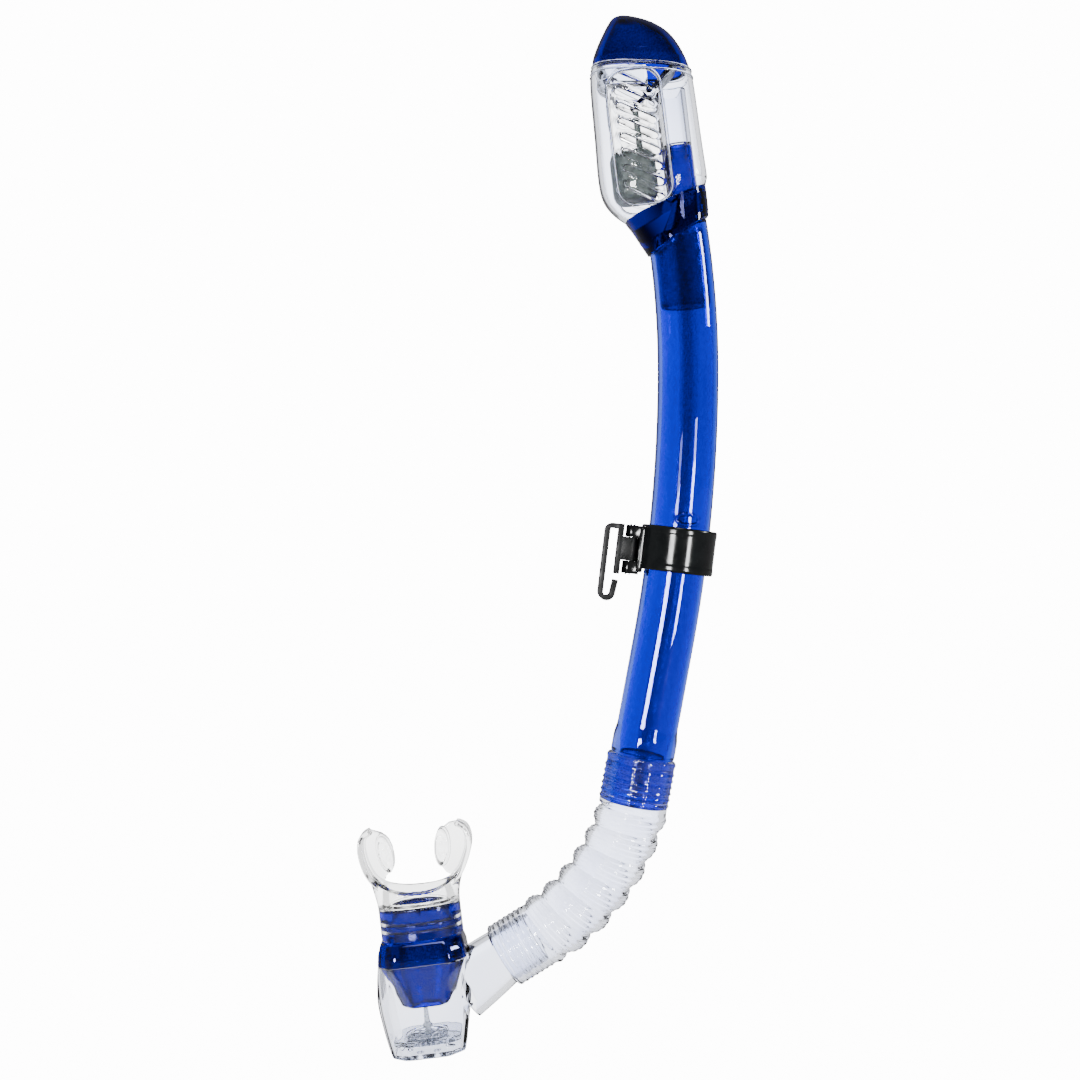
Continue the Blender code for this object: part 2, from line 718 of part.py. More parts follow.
def build_air_riser(parent, material):
    """The clear upper air channel: a skirt over the chimney, a mouth, and two hinge ears."""
    skirt_inner = GAP
    skirt_outer = GAP + AIR_WALL - 0.1
    ledge = CHIMNEY_TOP + GAP
    skirt_bottom = ledge - RISER_SKIRT_HEIGHT
    rings = [air_oval(RISER_TOP), air_oval(ledge + 2.0), air_oval(ledge + 0.8, skirt_outer),
             air_oval(skirt_bottom, skirt_outer), air_oval(skirt_bottom, skirt_inner),
             air_oval(ledge, skirt_inner), air_oval(ledge, -AIR_WALL),
             air_oval(RISER_TOP, -AIR_WALL)]
    riser = place("air_riser", skin("air_riser", rings, looped=True), parent, material)
    outer = EAR_INNER + EAR_THICKNESS
    left, right = FLAP_PIN[0] - EAR_RADIUS, FLAP_PIN[0] + EAR_RADIUS
    foot_right = AIR_CENTRE_X - AIR_OUTER[0] + 1.0
    outline = [(left, EAR_FOOT_LEVELS[0] + 1.5), (left + 1.5, EAR_FOOT_LEVELS[0]),
               (foot_right, EAR_FOOT_LEVELS[0]), (foot_right, EAR_FOOT_LEVELS[1]),
               (right, EAR_FOOT_LEVELS[1])]
    outline += arc_points(FLAP_PIN, EAR_RADIUS, 0.0, 180.0, 8)
    for name, near, far in (("front_ear", -outer, -EAR_INNER), ("back_ear", EAR_INNER, outer)):
        boolean(riser, place(name, prism(name, outline, near, far), parent), "UNION")
    hole = rods("ear_holes", FLAP_PIN_RADIUS + GAP, "Y", -outer - OVERRUN, outer + OVERRUN,
                [FLAP_PIN], 16)
    boolean(riser, place("ear_holes", hole, parent), "DIFFERENCE")
    return riser


def build_flap(parent, lever_material, seal_material, pin_material):
    """Rocker over the riser's mouth, drawn shut about its pin and then turned open."""
    open_turn = math.radians(-FLAP_OPEN_ANGLE)
    half = FLAP_THICKNESS / 2.0
    reach = AIR_CENTRE_X - FLAP_PIN[0]
    hub = rods("flap_lever", FLAP_HUB_RADIUS, "Y", -FLAP_HUB_HALF, FLAP_HUB_HALF, [(0.0, 0.0)], 20)
    lever = place("flap_lever", hub, parent, lever_material, FLAP_PIN)
    lever.rotation_euler.y = open_turn
    plate = [oval(reach, level, *FLAP_PLATE_HALF, AIR_SQUARENESS) for level in (half, -half)]
    tools = [
        place("flap_plate", skin("flap_plate", plate, looped=False), parent, None, FLAP_PIN),
        place("flap_neck", box("flap_neck", (0.5, -3.8, -half), (5.0, 3.8, half)),
              parent, None, FLAP_PIN),
        place("flap_arm", box("flap_arm", (-FLAP_ARM_LENGTH, -FLAP_ARM_HALF_DEPTH, -half),
                              (-0.5, FLAP_ARM_HALF_DEPTH, half)), parent, None, FLAP_PIN),
    ]
    for tool in tools:
        tool.rotation_euler.y = open_turn
        boolean(lever, tool, "UNION")
    hole = rods("flap_hub_hole", FLAP_PIN_RADIUS + GAP, "Y", -FLAP_HUB_HALF - OVERRUN,
                FLAP_HUB_HALF + OVERRUN, [(0.0, 0.0)], 16)
    boolean(lever, place("flap_hub_hole", hole, parent, None, FLAP_PIN), "DIFFERENCE")

    top = -half - GAP
    pad = [oval(reach, level, *SEAL_HALF, AIR_SQUARENESS) for level in (top, top - SEAL_THICKNESS)]
    seal = place("flap_seal", skin("flap_seal", pad, looped=False), parent, seal_material, FLAP_PIN)
    seal.rotation_euler.y = open_turn
    length = EAR_INNER + EAR_THICKNESS + 0.8
    place("flap_hinge_pin", rods("flap_hinge_pin", FLAP_PIN_RADIUS, "Y", -length, length,
                                 [(0.0, 0.0)], 16), parent, pin_material, FLAP_PIN)


def build_float(parent, float_material, stem_material):
    rings = [oval(FLOAT_CENTRE_X, height, half_width, half_depth, AIR_SQUARENESS)
             for height, half_width, half_depth in FLOAT_SECTIONS]
    body = place("float", skin("float", rings, looped=False), parent, float_material)
    socket = rods("stem_socket", STEM_RADIUS + GAP, "Z", STEM_SOCKET_Z, 30.0, [(STEM_X, 0.0)], 16)
    boolean(body, place("stem_socket", socket, parent), "DIFFERENCE")
    stem = rods("float_stem", STEM_RADIUS, "Z", STEM_SOCKET_Z + GAP, STEM_TOP, [(STEM_X, 0.0)], 16)
    place("float_stem", stem, parent, stem_material)


# --- keeper ----------------------------------------------------------------------------------

def keeper_frame(barrel):
    """The barrel's frame where the keeper sits."""
    if "keeper_frame" in bpy.data.objects:
        return bpy.data.objects["keeper_frame"]
    x, z, lean = barrel.at(upright_distance() + KEEPER_BELOW_UPRIGHT)
    return frame("keeper_frame", (x, z), -math.degrees(lean))


def build_keeper_band(parent, material):
    """Collar round the barrel with a root block and two knuckles for the clip's pin."""
    inner = TUBE_OUTER_RADIUS + GAP
    outer = inner + BAND_WALL
    half = BAND_HEIGHT / 2.0
    profile = ((outer - 0.8, half), (outer + BAND_LIP, half - 0.6), (outer + BAND_LIP, half - 2.6),
               (outer, half - 3.2), (outer, 3.2 - half), (outer + BAND_LIP, 2.6 - half),
               (outer + BAND_LIP, 0.6 - half), (outer - 0.8, -half), (inner, -half), (inner, half))
    band = turned("keeper_band", profile, parent, material)
    low, clip_low, clip_high, high = KNUCKLE_LEVELS
    root = box("keeper_root", (-PIN_CLEAR, -ROOT_HALF_DEPTH, low + 1.0),
               (-inner - 0.8, ROOT_HALF_DEPTH, high - 0.6), 0.5)
    boolean(band, place("keeper_root", root, parent), "UNION")
    outline = arc_points((PIN_X, 0.0), KNUCKLE_RADIUS, 90.0, 270.0, 8)
    root_side = 1.2 - PIN_CLEAR
    outline += [(root_side, -KNUCKLE_RADIUS), (root_side, KNUCKLE_RADIUS)]
    for name, bottom, top in (("lower_knuckle", low, clip_low), ("upper_knuckle", clip_high, high)):
        boolean(band, place(name, prism(name, outline, bottom, top, "Z"), parent), "UNION")
    hole = rods("knuckle_holes", KEEPER_PIN_RADIUS + GAP, "Z", -20.0, 20.0, [(PIN_X, 0.0)], 16)
    boolean(band, place("knuckle_holes", hole, parent), "DIFFERENCE")
    return band


def hook_line():
    """Centreline of the hook: out of the plate's top, down the arm and round the turn."""
    half = HOOK_THICKNESS / 2.0
    arm_x = PLATE_FACE_X - SLOT_WIDTH - half
    corner = 1.6
    points = [(PLATE_FACE_X + 1.0, HOOK_CENTRE_TOP), (arm_x + corner, HOOK_CENTRE_TOP)]
    points += arc_points((arm_x + corner, HOOK_CENTRE_TOP - corner), corner, 90.0, 180.0, 4)[1:]
    turn_centre = (arm_x + HOOK_TURN_RADIUS, HOOK_TURN_Z)
    points += arc_points(turn_centre, HOOK_TURN_RADIUS, 180.0, 345.0, 9)
    points.append(HOOK_TIP)
    return points


def build_keeper_clip(parent, material):
    """Backing plate on the pin, with the strap hook in front of it."""
    clip_low, clip_high = KNUCKLE_LEVELS[1:3]
    plate = box("keeper_clip", (PLATE_FACE_X, -PLATE_HALF_DEPTH, PLATE_BOTTOM),
                (PLATE_FACE_X + PLATE_THICKNESS, PLATE_HALF_DEPTH, PLATE_TOP))
    clip = place("keeper_clip", plate, parent, material)
    outline = arc_points((PIN_X, 0.0), KNUCKLE_RADIUS, -90.0, 90.0, 8)
    outline += [(PLATE_FACE_X + 0.5, KNUCKLE_RADIUS), (PLATE_FACE_X + 0.5, -KNUCKLE_RADIUS)]
    knuckle = prism("clip_knuckle", outline, clip_low + GAP, clip_high - GAP, "Z")
    boolean(clip, place("clip_knuckle", knuckle, parent), "UNION")
    boolean(clip, place("strap_hook", hook_mesh(), parent), "UNION")
    hole = rods("clip_hole", KEEPER_PIN_RADIUS + GAP, "Z", -20.0, 20.0, [(PIN_X, 0.0)], 16)
    boolean(clip, place("clip_hole", hole, parent), "DIFFERENCE")
    return clip


def hook_mesh():
    """The hook's line thickened in its plane and extruded along Y."""
    line = [Vector(point) for point in hook_line()]
    half = HOOK_THICKNESS / 2.0
    left, right = [], []
    for number, point in enumerate(line):
        before = line[max(number - 1, 0)]
        after = line[min(number + 1, len(line) - 1)]
        along = (after - before).normalized()
        side = Vector((-along.y, along.x)) * half
        left.append(point + side)
        right.append(point - side)
    outline = [tuple(point) for point in left + right[::-1]]
    return prism("strap_hook", outline, -HOOK_HALF_DEPTH, HOOK_HALF_DEPTH)


def build_keeper_pin(parent, material):
    pin = rods("keeper_pin", KEEPER_PIN_RADIUS, "Z", KNUCKLE_LEVELS[0] - 0.5,
               KNUCKLE_LEVELS[3] + 0.5, [(0.0, 0.0)], 16)
    place("keeper_pin", pin, parent, material, (PIN_X, 0.0))


# --- hose ------------------------------------------------------------------------------------

def hose_radius(hose, distance, angle):
    """Outer radius of the hose: plain cuffs, and a helical corrugation between them."""
    past_cuff = distance - HOSE_CUFF_LENGTH
    before_end = hose.length - HOSE_END_CUFF_LENGTH - distance
    turns = (past_cuff - HOSE_FIRST_CREST) / HOSE_PITCH + angle / (2.0 * math.pi)
    wave = 0.5 + 0.5 * math.cos(2.0 * math.pi * turns)
    crest = HOSE_VALLEY_RADIUS + (HOSE_CREST_RADIUS - HOSE_VALLEY_RADIUS) * wave ** 0.8
    fade = 2.5
    if past_cuff < fade:
        share = max(0.0, past_cuff / fade)
        return HOSE_CUFF_RADIUS * (1.0 - share) + crest * share
    if before_end < fade:
        share = max(0.0, before_end / fade)
        return HOSE_END_CUFF_RADIUS * (1.0 - share) + crest * share
    return crest


def build_flex_hose(hose, material):
    bend_start = HOSE_CUFF_LENGTH
    bend_end = hose.length - HOSE_END_CUFF_LENGTH
    wavy = spread(bend_start, bend_end, HOSE_PITCH / HOSE_RINGS_PER_PITCH)
    outer = [ring_across(hose, distance, lambda angle: HOSE_CUFF_RADIUS, HOSE_RING)
             for distance in (0.0, bend_start - 3.0)]
    outer += [ring_across(hose, distance, lambda angle: hose_radius(hose, distance, angle),
                          HOSE_RING) for distance in wavy]
    outer += [ring_across(hose, distance, lambda angle: HOSE_END_CUFF_RADIUS, HOSE_RING)
              for distance in (bend_end + 3.0, hose.length)]
    upper_bore = HOSE_SPIGOT_RADIUS + HOSE_SPIGOT_RIDGE + GAP
    lower_bore = STUB_SPIGOT_RADIUS + STUB_RIDGE + GAP
    inner = [ring_across(hose, distance, lambda angle: upper_bore, HOSE_RING)
             for distance in (0.0, bend_start - 0.2)]
    inner += [ring_across(hose, distance, lambda angle: HOSE_VALLEY_RADIUS - HOSE_WALL, HOSE_RING)
              for distance in spread(bend_start + 0.6, bend_end - 0.6, HOSE_PITCH / 2.0)]
    inner += [ring_across(hose, distance, lambda angle: lower_bore, HOSE_RING)
              for distance in (bend_end + 0.2, hose.length)]
    place("flex_hose", skin("flex_hose", outer + inner[::-1], looped=True), None, material)


# --- purge chamber and mouthpiece --------------------------------------------------------------

def build_purge_chamber(parent, hose, material):
    """Clear chamber, open above and below, with an angled stub for the hose."""
    rings = [level_oval(row, 0.0, CHAMBER_SQUARENESS) for row in CHAMBER_SECTIONS]
    chamber = place("purge_chamber", skin("purge_chamber", rings, looped=False), parent, material)

    x, z, lean = hose.at(hose.length)
    stub_frame = frame("stub_frame", (x, z), -math.degrees(lean))
    ridge = STUB_SPIGOT_RADIUS + STUB_RIDGE
    profile = [(0.0, STUB_SPIGOT_LENGTH), (STUB_SPIGOT_RADIUS, STUB_SPIGOT_LENGTH)]
    for middle in STUB_RIDGES:
        profile += [(STUB_SPIGOT_RADIUS, middle + 1.2), (ridge, middle + 0.7),
                    (ridge, middle - 0.7), (STUB_SPIGOT_RADIUS, middle - 1.2)]
    profile += [(STUB_SPIGOT_RADIUS, -GAP), (STUB_RADIUS, -GAP), (STUB_RADIUS, -STUB_REACH),
                (0.0, -STUB_REACH)]
    boolean(chamber, turned("stub", profile, stub_frame, None), "UNION")

    first, last = CHAMBER_SECTIONS[0], CHAMBER_SECTIONS[-1]
    rows = [(first[0] + OVERRUN, *first[1:]), *CHAMBER_SECTIONS, (last[0] - OVERRUN, *last[1:])]
    cavity = skin("chamber_cavity", [level_oval(row, CHAMBER_WALL, CHAMBER_SQUARENESS)
                                     for row in rows], looped=False)
    boolean(chamber, place("chamber_cavity", cavity, parent), "DIFFERENCE")
    collar = CONNECTOR_SECTIONS[9:12]
    low = (collar[-1][0] - GAP, *collar[-1][1:])
    high = (collar[0][0] + 10.0, *collar[0][1:])
    room = skin("collar_room", [level_oval(row, -GAP, CHAMBER_SQUARENESS)
                                for row in (high, *collar, low)], looped=False)
    boolean(chamber, place("collar_room", room, parent), "DIFFERENCE")
    bore = rods("stub_bore", STUB_BORE_RADIUS, "Z", -STUB_REACH - 6.0,
                STUB_SPIGOT_LENGTH + OVERRUN, [(0.0, 0.0)])
    boolean(chamber, place("stub_bore", bore, stub_frame), "DIFFERENCE")
    return chamber


def build_connector(parent, material):
    """Spigot for the mouthpiece, collar, and a tapered plug inside the chamber."""
    rings = [level_oval(row, 0.0, NECK_SQUARENESS) for row in CONNECTOR_SECTIONS[:9]]
    rings += [level_oval(row, 0.0, CHAMBER_SQUARENESS) for row in CONNECTOR_SECTIONS[9:]]
    rings += [level_oval(row, 0.0, CONNECTOR_BORE_SQUARENESS) for row in CONNECTOR_BORE]
    place("mouthpiece_connector", skin("mouthpiece_connector", rings, looped=True), parent,
          material)


def arch_mesh():
    """The lip flange: a curved strip, taller at its middle, thickened by Solidify."""
    work = bmesh.new()
    rows = []
    for step in range(ARCH_STEPS + 1):
        share = 2.0 * step / ARCH_STEPS - 1.0
        angle = math.radians(ARCH_SWEEP * share)
        x = ARCH_HALF_WIDTH * math.sin(angle)
        z = ARCH_CENTRE_Z - ARCH_DROP * math.cos(angle)
        fall = (ARCH_HALF_HEIGHT - ARCH_TIP_HALF_HEIGHT) * abs(share) ** 1.5
        height = (ARCH_HALF_HEIGHT - fall) * (1.0 - 0.45 * abs(share) ** 12)
        rows.append([work.verts.new((x, height * level, z)) for level in (-1.0, -0.4, 0.4, 1.0)])
    for first, second in zip(rows, rows[1:]):
        for number in range(3):
            work.faces.new((first[number], first[number + 1], second[number + 1], second[number]))
    return finish_mesh("lip_flange", work)


def build_mouthpiece(parent, material):
    """Neck, lip flange and two bite tabs with raised lugs."""
    def neck(half, height):
        return oval(0.0, height, *half, NECK_SQUARENESS)

    rings = [neck(NECK_OUTER, NECK_TOP), neck(NECK_OUTER, GAP), neck(NECK_INNER, GAP),
             neck(NECK_INNER, NECK_STEP - 1.0), neck(NECK_MOUTH, NECK_STEP),
             neck(NECK_MOUTH, NECK_TOP)]
    piece = place("mouthpiece", skin("mouthpiece", rings, looped=True), parent, material)

    flange = place("lip_flange", arch_mesh(), parent)
    shell = flange.modifiers.new("thickness", "SOLIDIFY")
    shell.thickness = ARCH_THICKNESS * MM
    shell.offset = 0.0
    boolean(piece, flange, "UNION")
    for label, side in (("left", -1.0), ("right", 1.0)):
        for part, centre, half, thickness in (("tab", TAB_CENTRE, TAB_HALF, TAB_THICKNESS),
                                              ("lug", LUG_CENTRE, LUG_HALF, LUG_HEIGHT)):
            outline = []
            for step in range(24):
                angle = 2.0 * math.pi * step / 24
                outline.append((side * centre[0] + half[0] * math.cos(angle),
                                centre[1] + half[1] * math.sin(angle)))
            name = "%s_bite_%s" % (label, part)
            shape = prism(name, outline, -thickness / 2.0, thickness / 2.0)
            boolean(piece, place(name, shape, parent), "UNION")
    mouth = [neck(NECK_MOUTH, NECK_STEP + 0.5), neck(NECK_MOUTH, 27.0)]
    boolean(piece, place("mouth_opening", skin("mouth_opening", mouth, looped=False), parent),
            "DIFFERENCE")
    return piece


def hole_circle(radius, count, phase=0.0):
    return [(PURGE_CENTRE_X + radius * math.cos(2.0 * math.pi * (step + phase) / count),
             radius * math.sin(2.0 * math.pi * (step + phase) / count)) for step in range(count)]


def purge_disc(name, levels):
    """A flat plate that fills the chamber's cavity between two levels."""
    rings = []
    for height in sorted(levels, reverse=True):
        share = (CHAMBER_SECTIONS[4][0] - height) / (CHAMBER_SECTIONS[4][0] - CHAMBER_SECTIONS[5][0])
        share = min(max(share, 0.0), 1.0)
        row = [height]
        row += [above * (1.0 - share) + below * share for above, below in
                zip(CHAMBER_SECTIONS[4][1:], CHAMBER_SECTIONS[5][1:])]
        rings.append(level_oval(row, CHAMBER_WALL + GAP, CHAMBER_SQUARENESS))
    return skin(name, rings, looped=False)


def build_purge_valve_set(parent, seat_material, valve_material, cover_material):
    seat = place("purge_seat", purge_disc("purge_seat", SEAT_LEVELS), parent, seat_material)
    ports = rods("seat_ports", SEAT_HOLE_RADIUS, "Z", -45.0, -38.0,
                 hole_circle(SEAT_HOLE_CIRCLE, SEAT_HOLE_COUNT), 12)
    boolean(seat, place("seat_ports", ports, parent), "DIFFERENCE")
    centre = rods("seat_centre", VALVE_TAIL_RADIUS + GAP, "Z", -45.0, -38.0,
                  [(PURGE_CENTRE_X, 0.0)], 12)
    boolean(seat, place("seat_centre", centre, parent), "DIFFERENCE")

    top = SEAT_LEVELS[0] - GAP
    bulb, bulb_low, bulb_high = VALVE_BULB
    tail = VALVE_TAIL_RADIUS
    profile = ((0.0, VALVE_TAIL_TOP), (tail * 0.7, VALVE_TAIL_TOP), (tail, bulb_high + 0.8),
               (bulb, bulb_high), (bulb, bulb_low + 0.4), (tail, bulb_low), (tail, top - 0.2),
               (VALVE_RADIUS, top), (VALVE_RADIUS, top - 0.4), (2.5, top - VALVE_THICKNESS),
               (0.0, top - VALVE_THICKNESS - 0.2))
    turned("purge_valve", profile, parent, valve_material, (PURGE_CENTRE_X, 0.0))

    cover = place("purge_cover", purge_disc("purge_cover", COVER_LEVELS), parent, cover_material)
    drains = rods("cover_drains", COVER_HOLE_RADIUS, "Z", -50.0, -43.0,
                  hole_circle(COVER_HOLE_CIRCLE, COVER_HOLE_COUNT, 0.5), 12)
    boolean(cover, place("cover_drains", drains, parent), "DIFFERENCE")


# --- assembly --------------------------------------------------------------------------------

def build_snorkel():
    blue = plastic("blue_tint_plastic", (0.01, 0.05, 0.55), 0.12, 0.6)
    tube_blue = plastic("tube_blue_plastic", (0.01, 0.09, 0.75), 0.1, 0.6)
    cap_blue = plastic("cap_blue_plastic", (0.0, 0.02, 0.22), 0.08, 0.4)
    clear = plastic("clear_plastic", (0.9, 0.93, 0.97), 0.05, 0.95)
    grille_clear = plastic("grille_clear_plastic", (0.88, 0.92, 0.95), 0.08, 0.9)
    silicone = plastic("clear_silicone", (0.88, 0.9, 0.93), 0.25, 0.8)
    seal_silicone = plastic("seal_silicone", (0.75, 0.78, 0.8), 0.4, 0.3)
    black = plastic("black_plastic", (0.015, 0.016, 0.018), 0.18)
    grey = plastic("float_grey_plastic", (0.3, 0.34, 0.32), 0.4)
    steel = plastic("pin_steel", (0.5, 0.5, 0.5), 0.3)

    barrel = barrel_centreline()
    hose = hose_centreline(barrel)
    dry_top = frame("dry_top_frame", DRY_TOP_POINT, DRY_TOP_LEAN)
    build_main_tube(barrel, dry_top, tube_blue)
    build_housing(dry_top, clear)
    build_grille(-1, dry_top, grille_clear)
    build_grille(1, dry_top, grille_clear)
    build_top_cap(dry_top, cap_blue)
    build_dry_top_base(dry_top, barrel, blue)
    build_air_riser(dry_top, clear)
    build_flap(dry_top, blue, seal_silicone, steel)
    build_float(dry_top, grey, grey)

    keeper = keeper_frame(barrel)
    build_keeper_band(keeper, black)
    build_keeper_clip(keeper, black)
    build_keeper_pin(keeper, steel)

    build_flex_hose(hose, silicone)
    chamber = frame("chamber_frame", CHAMBER_POINT, CHAMBER_LEAN)
    build_purge_chamber(chamber, hose, clear)
    build_connector(chamber, blue)
    build_mouthpiece(chamber, silicone)
    build_purge_valve_set(chamber, clear, seal_silicone, clear)


clear_scene()
PARTS = new_collection("snorkel")
CUTTERS = new_collection("cutters")
build_snorkel()
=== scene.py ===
import bisect
import math

import bmesh
import bpy
from mathutils import Matrix, Vector


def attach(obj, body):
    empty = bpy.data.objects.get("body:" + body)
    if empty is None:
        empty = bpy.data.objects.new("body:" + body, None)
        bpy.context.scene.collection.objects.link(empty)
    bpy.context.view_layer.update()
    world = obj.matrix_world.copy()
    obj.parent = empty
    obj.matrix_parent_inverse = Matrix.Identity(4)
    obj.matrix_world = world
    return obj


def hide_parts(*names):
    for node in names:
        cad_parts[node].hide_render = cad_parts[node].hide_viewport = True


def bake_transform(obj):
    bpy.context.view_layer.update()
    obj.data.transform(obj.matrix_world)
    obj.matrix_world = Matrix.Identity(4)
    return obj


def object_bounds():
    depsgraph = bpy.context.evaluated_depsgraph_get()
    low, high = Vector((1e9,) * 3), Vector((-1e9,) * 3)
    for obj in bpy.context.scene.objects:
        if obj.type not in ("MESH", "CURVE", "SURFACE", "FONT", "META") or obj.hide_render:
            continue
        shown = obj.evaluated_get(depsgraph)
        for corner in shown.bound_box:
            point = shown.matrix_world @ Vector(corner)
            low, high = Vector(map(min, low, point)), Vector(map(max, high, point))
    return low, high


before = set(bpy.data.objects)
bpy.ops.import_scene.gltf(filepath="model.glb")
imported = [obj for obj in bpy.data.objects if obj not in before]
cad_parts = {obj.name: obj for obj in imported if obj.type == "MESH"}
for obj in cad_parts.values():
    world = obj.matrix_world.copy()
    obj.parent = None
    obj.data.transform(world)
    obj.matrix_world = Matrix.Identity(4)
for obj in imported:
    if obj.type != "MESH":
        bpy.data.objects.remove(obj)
CAD_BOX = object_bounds()

# Sizes in millimetres, in the row frame or in the frame named beside them. MM turns them into
# metres.
MM = 0.001
GAP = 0.3
RING = 96                          # points round a lofted section
BEAD_SIDES = 12                    # and round a thin bead

# Barrel
TUBE_RADIUS = 12.7
TUBE_BORE = 10.7
UPRIGHT_POINT = (31.9, 77.5)
UPPER_ARC = (375.0, 56.0)          # radius, length
LOWER_ARC = (625.0, 10.5)          # radius, turn in degrees
LOWER_STRAIGHT = 47.6
TOP_OVERRUN = 14.0                 # the centreline starts this far above the top cut
FLARE_RADIUS = 13.4
FLARE_LENGTH = 6.0
FLARE_BAND = 7.0
SPIGOT_RADIUS = 11.2
SPIGOT_LENGTH = 20.5
SPIGOT_BORE = 9.3
SPIGOT_RIDGES = (5.0, 11.0, 17.0)
LUG_CENTRE = (1.7, 12.9)           # keeper frame, x and z
LUG_HALF = (4.6, 2.2)

# Elbow hose
HOSE_CUFF = (21.0, 14.4)           # length, radius
HOSE_LEAD_IN = (3.5, 6.5)
HOSE_BEND = (90.0, 41.0)           # radius, turn in degrees
HOSE_END_CUFF = (17.0, 13.7)
HOSE_PITCH = 10.95
HOSE_FIRST_CREST = 1.7
HOSE_CREST = 14.9
HOSE_VALLEY = 12.3
HOSE_WALL = 1.5
GROOVE_SHAPE = (0.015, 0.42)       # how soft its bottom is, and the power that rounds the crests
HOSE_FINE_RINGS = 5.0              # to a turn of the helix
UPPER_CUFF_RINGS = (5.4, 8.0, 10.6, 13.2, 15.8, 18.4)      # from the end of their cuff
LOWER_CUFF_RINGS = (3.4, 5.8, 8.2, 10.6, 13.0, 15.4)

# Dry top, in its own frame
DRY_TOP_POINT = (18.6, 144.2)
DRY_TOP_LEAN = 7.0
HOUSING_WALL = 1.8
HOUSING_ROWS = (                   # left x, left z, right x, right z, half depth
    (-19.6, 61.8, 21.2, 55.0, 17.0),
    (-21.0, 54.0, 21.7, 47.5, 18.0),
    (-21.8, 32.0, 22.1, 26.5, 18.4),
    (-22.4, 15.0, 22.5, 12.0, 18.4),
    (-21.4, 6.5, 22.1, 9.2, 17.8),
    (-18.0, 0.6, 21.7, 7.8, 16.9),
    (-13.2, -3.9, 21.4, 7.1, 15.6),
)
CAP_ROWS = (
    (-19.3, 62.1, 21.0, 55.3, 17.0),
    (-18.5, 65.4, 19.7, 60.6, 16.6),
    (-16.7, 69.2, 17.5, 66.2, 15.2),
    (-14.1, 73.6, 14.0, 71.8, 12.8),
    (-11.2, 78.0, 8.6, 76.4, 9.2),
    (-8.8, 80.8, 3.0, 79.4, 5.4),
    (-6.0, 81.9, -1.8, 81.4, 1.9),
    (-4.0, 82.1, -3.8, 82.1, 0.1),
)
COLLAR_ROWS = (
    (-13.2, -4.2, 21.4, 6.8, 15.6),
    (-10.8, -8.4, 21.6, 3.6, 14.9),
    (-7.6, -15.0, 21.6, -2.0, 13.6),
    (-5.6, -18.9, 21.3, -5.3, 13.3),
)
COLLAR_SQUARENESS = (2.6, 2.4, 2.1, 2.0)
HOUSING_SQUARENESS = 2.6
CAP_SQUARENESS = 2.3
CAP_WALL = (2.0, 1.2)              # at its side and at its top
GRILLE = (-15.3, 6.0, 0.8, 54.8, 7.0)      # left, right, bottom, top, corner
SLOT_PITCH = 6.3
SLOT_COUNT = 8
SLOT_HALF = (7.3, 1.25)             # half length between its round ends, radius
SLOT_FALL = 31.0
SLOT_ROLL = 1.25                   # how far a slot's edge rolls over
FIRST_SLOT = (-4.7, 49.6)
AIR_CENTRE = 11.6
AIR_HALF = (6.2, 9.8)
AIR_WALL = 1.3
AIR_SQUARENESS = 3.0
CHIMNEY_TOP = 23.6
RISER_TOP = 47.2
INNER_SPIGOT_LENGTH = 30.0
INNER_SPIGOT_BORE = 8.6
FLAP_PIN = (3.8, 49.5)
EAR = (4.5, 1.5, 1.9)              # inner face, thickness, eye radius
FLOAT_CENTRE = -7.6
FLOAT_ROWS = (                     # z, half width, half depth
    (24.0, 6.4, 9.6), (23.7, 7.9, 11.2), (22.9, 8.8, 12.1), (21.2, 9.4, 12.7), (20.0, 9.5, 12.8),
    (8.6, 9.5, 12.8), (7.2, 9.4, 12.7), (5.6, 8.8, 12.1), (4.6, 7.9, 11.2), (4.2, 6.2, 9.4),
)
STEM = (-3.6, 1.3, 16.0)           # x, radius, socket bottom

# Keeper, in the frame of the barrel where it sits
KEEPER_DISTANCE = 75.3
BAND = (18.6, 2.6, 0.12)            # height, wall, lip
PIN_X = -19.5
PIN_RADIUS = 1.1
KNUCKLE_RADIUS = 2.7
KNUCKLE_LEVELS = (-12.0, -6.8, 3.2, 8.2)
ROOT_SIDE = -16.4
PLATE = (-25.2, 2.0, 7.0, -12.6, 8.2)      # face x, thickness, half depth, bottom, top
STRAP_GAP = 3.6
HOOK = (2.1, 6.0, 7.1, -20.6, 2.5)         # thickness, half depth, top z, turn z, turn radius
HOOK_TIP = (-24.2, -15.2)

# Purge chamber and mouthpiece, in their own frame
CHAMBER_POINT = (-78.5, -158.2)
CHAMBER_LEAN = 7.0
CHAMBER_ROWS = (                   # z, left x, right x, half depth
    (-8.8, -19.3, 17.7, 16.5),
    (-16.0, -20.4, 17.6, 16.8),
    (-24.0, -21.0, 16.9, 16.8),
    (-33.0, -20.1, 15.6, 16.5),
    (-41.0, -18.9, 13.9, 16.0),
    (-47.0, -17.6, 12.6, 15.5),
)
CHAMBER_WALL = 2.2
CORNER = (6.3, 1.6)                # leg of the chamber's bevelled corners, and their rounding
PLUG_CORNER = (4.6, 1.2)
NECK_SQUARENESS = 2.4
BORE_SQUARENESS = 2.6
STUB = (11.9, 21.0, 9.2)           # radius, reach back into the chamber, bore
STUB_ROOT = (13.9, 1.7)            # radius where it leaves the chamber, and how far that is lowered
STUB_SPIGOT = (10.9, 15.5)
STUB_RIDGES = (11.5, 6.0)
STUB_RIDGE = 0.4                   # height of a ridge
PRESS = 0.03                       # how far stretched silicone bites
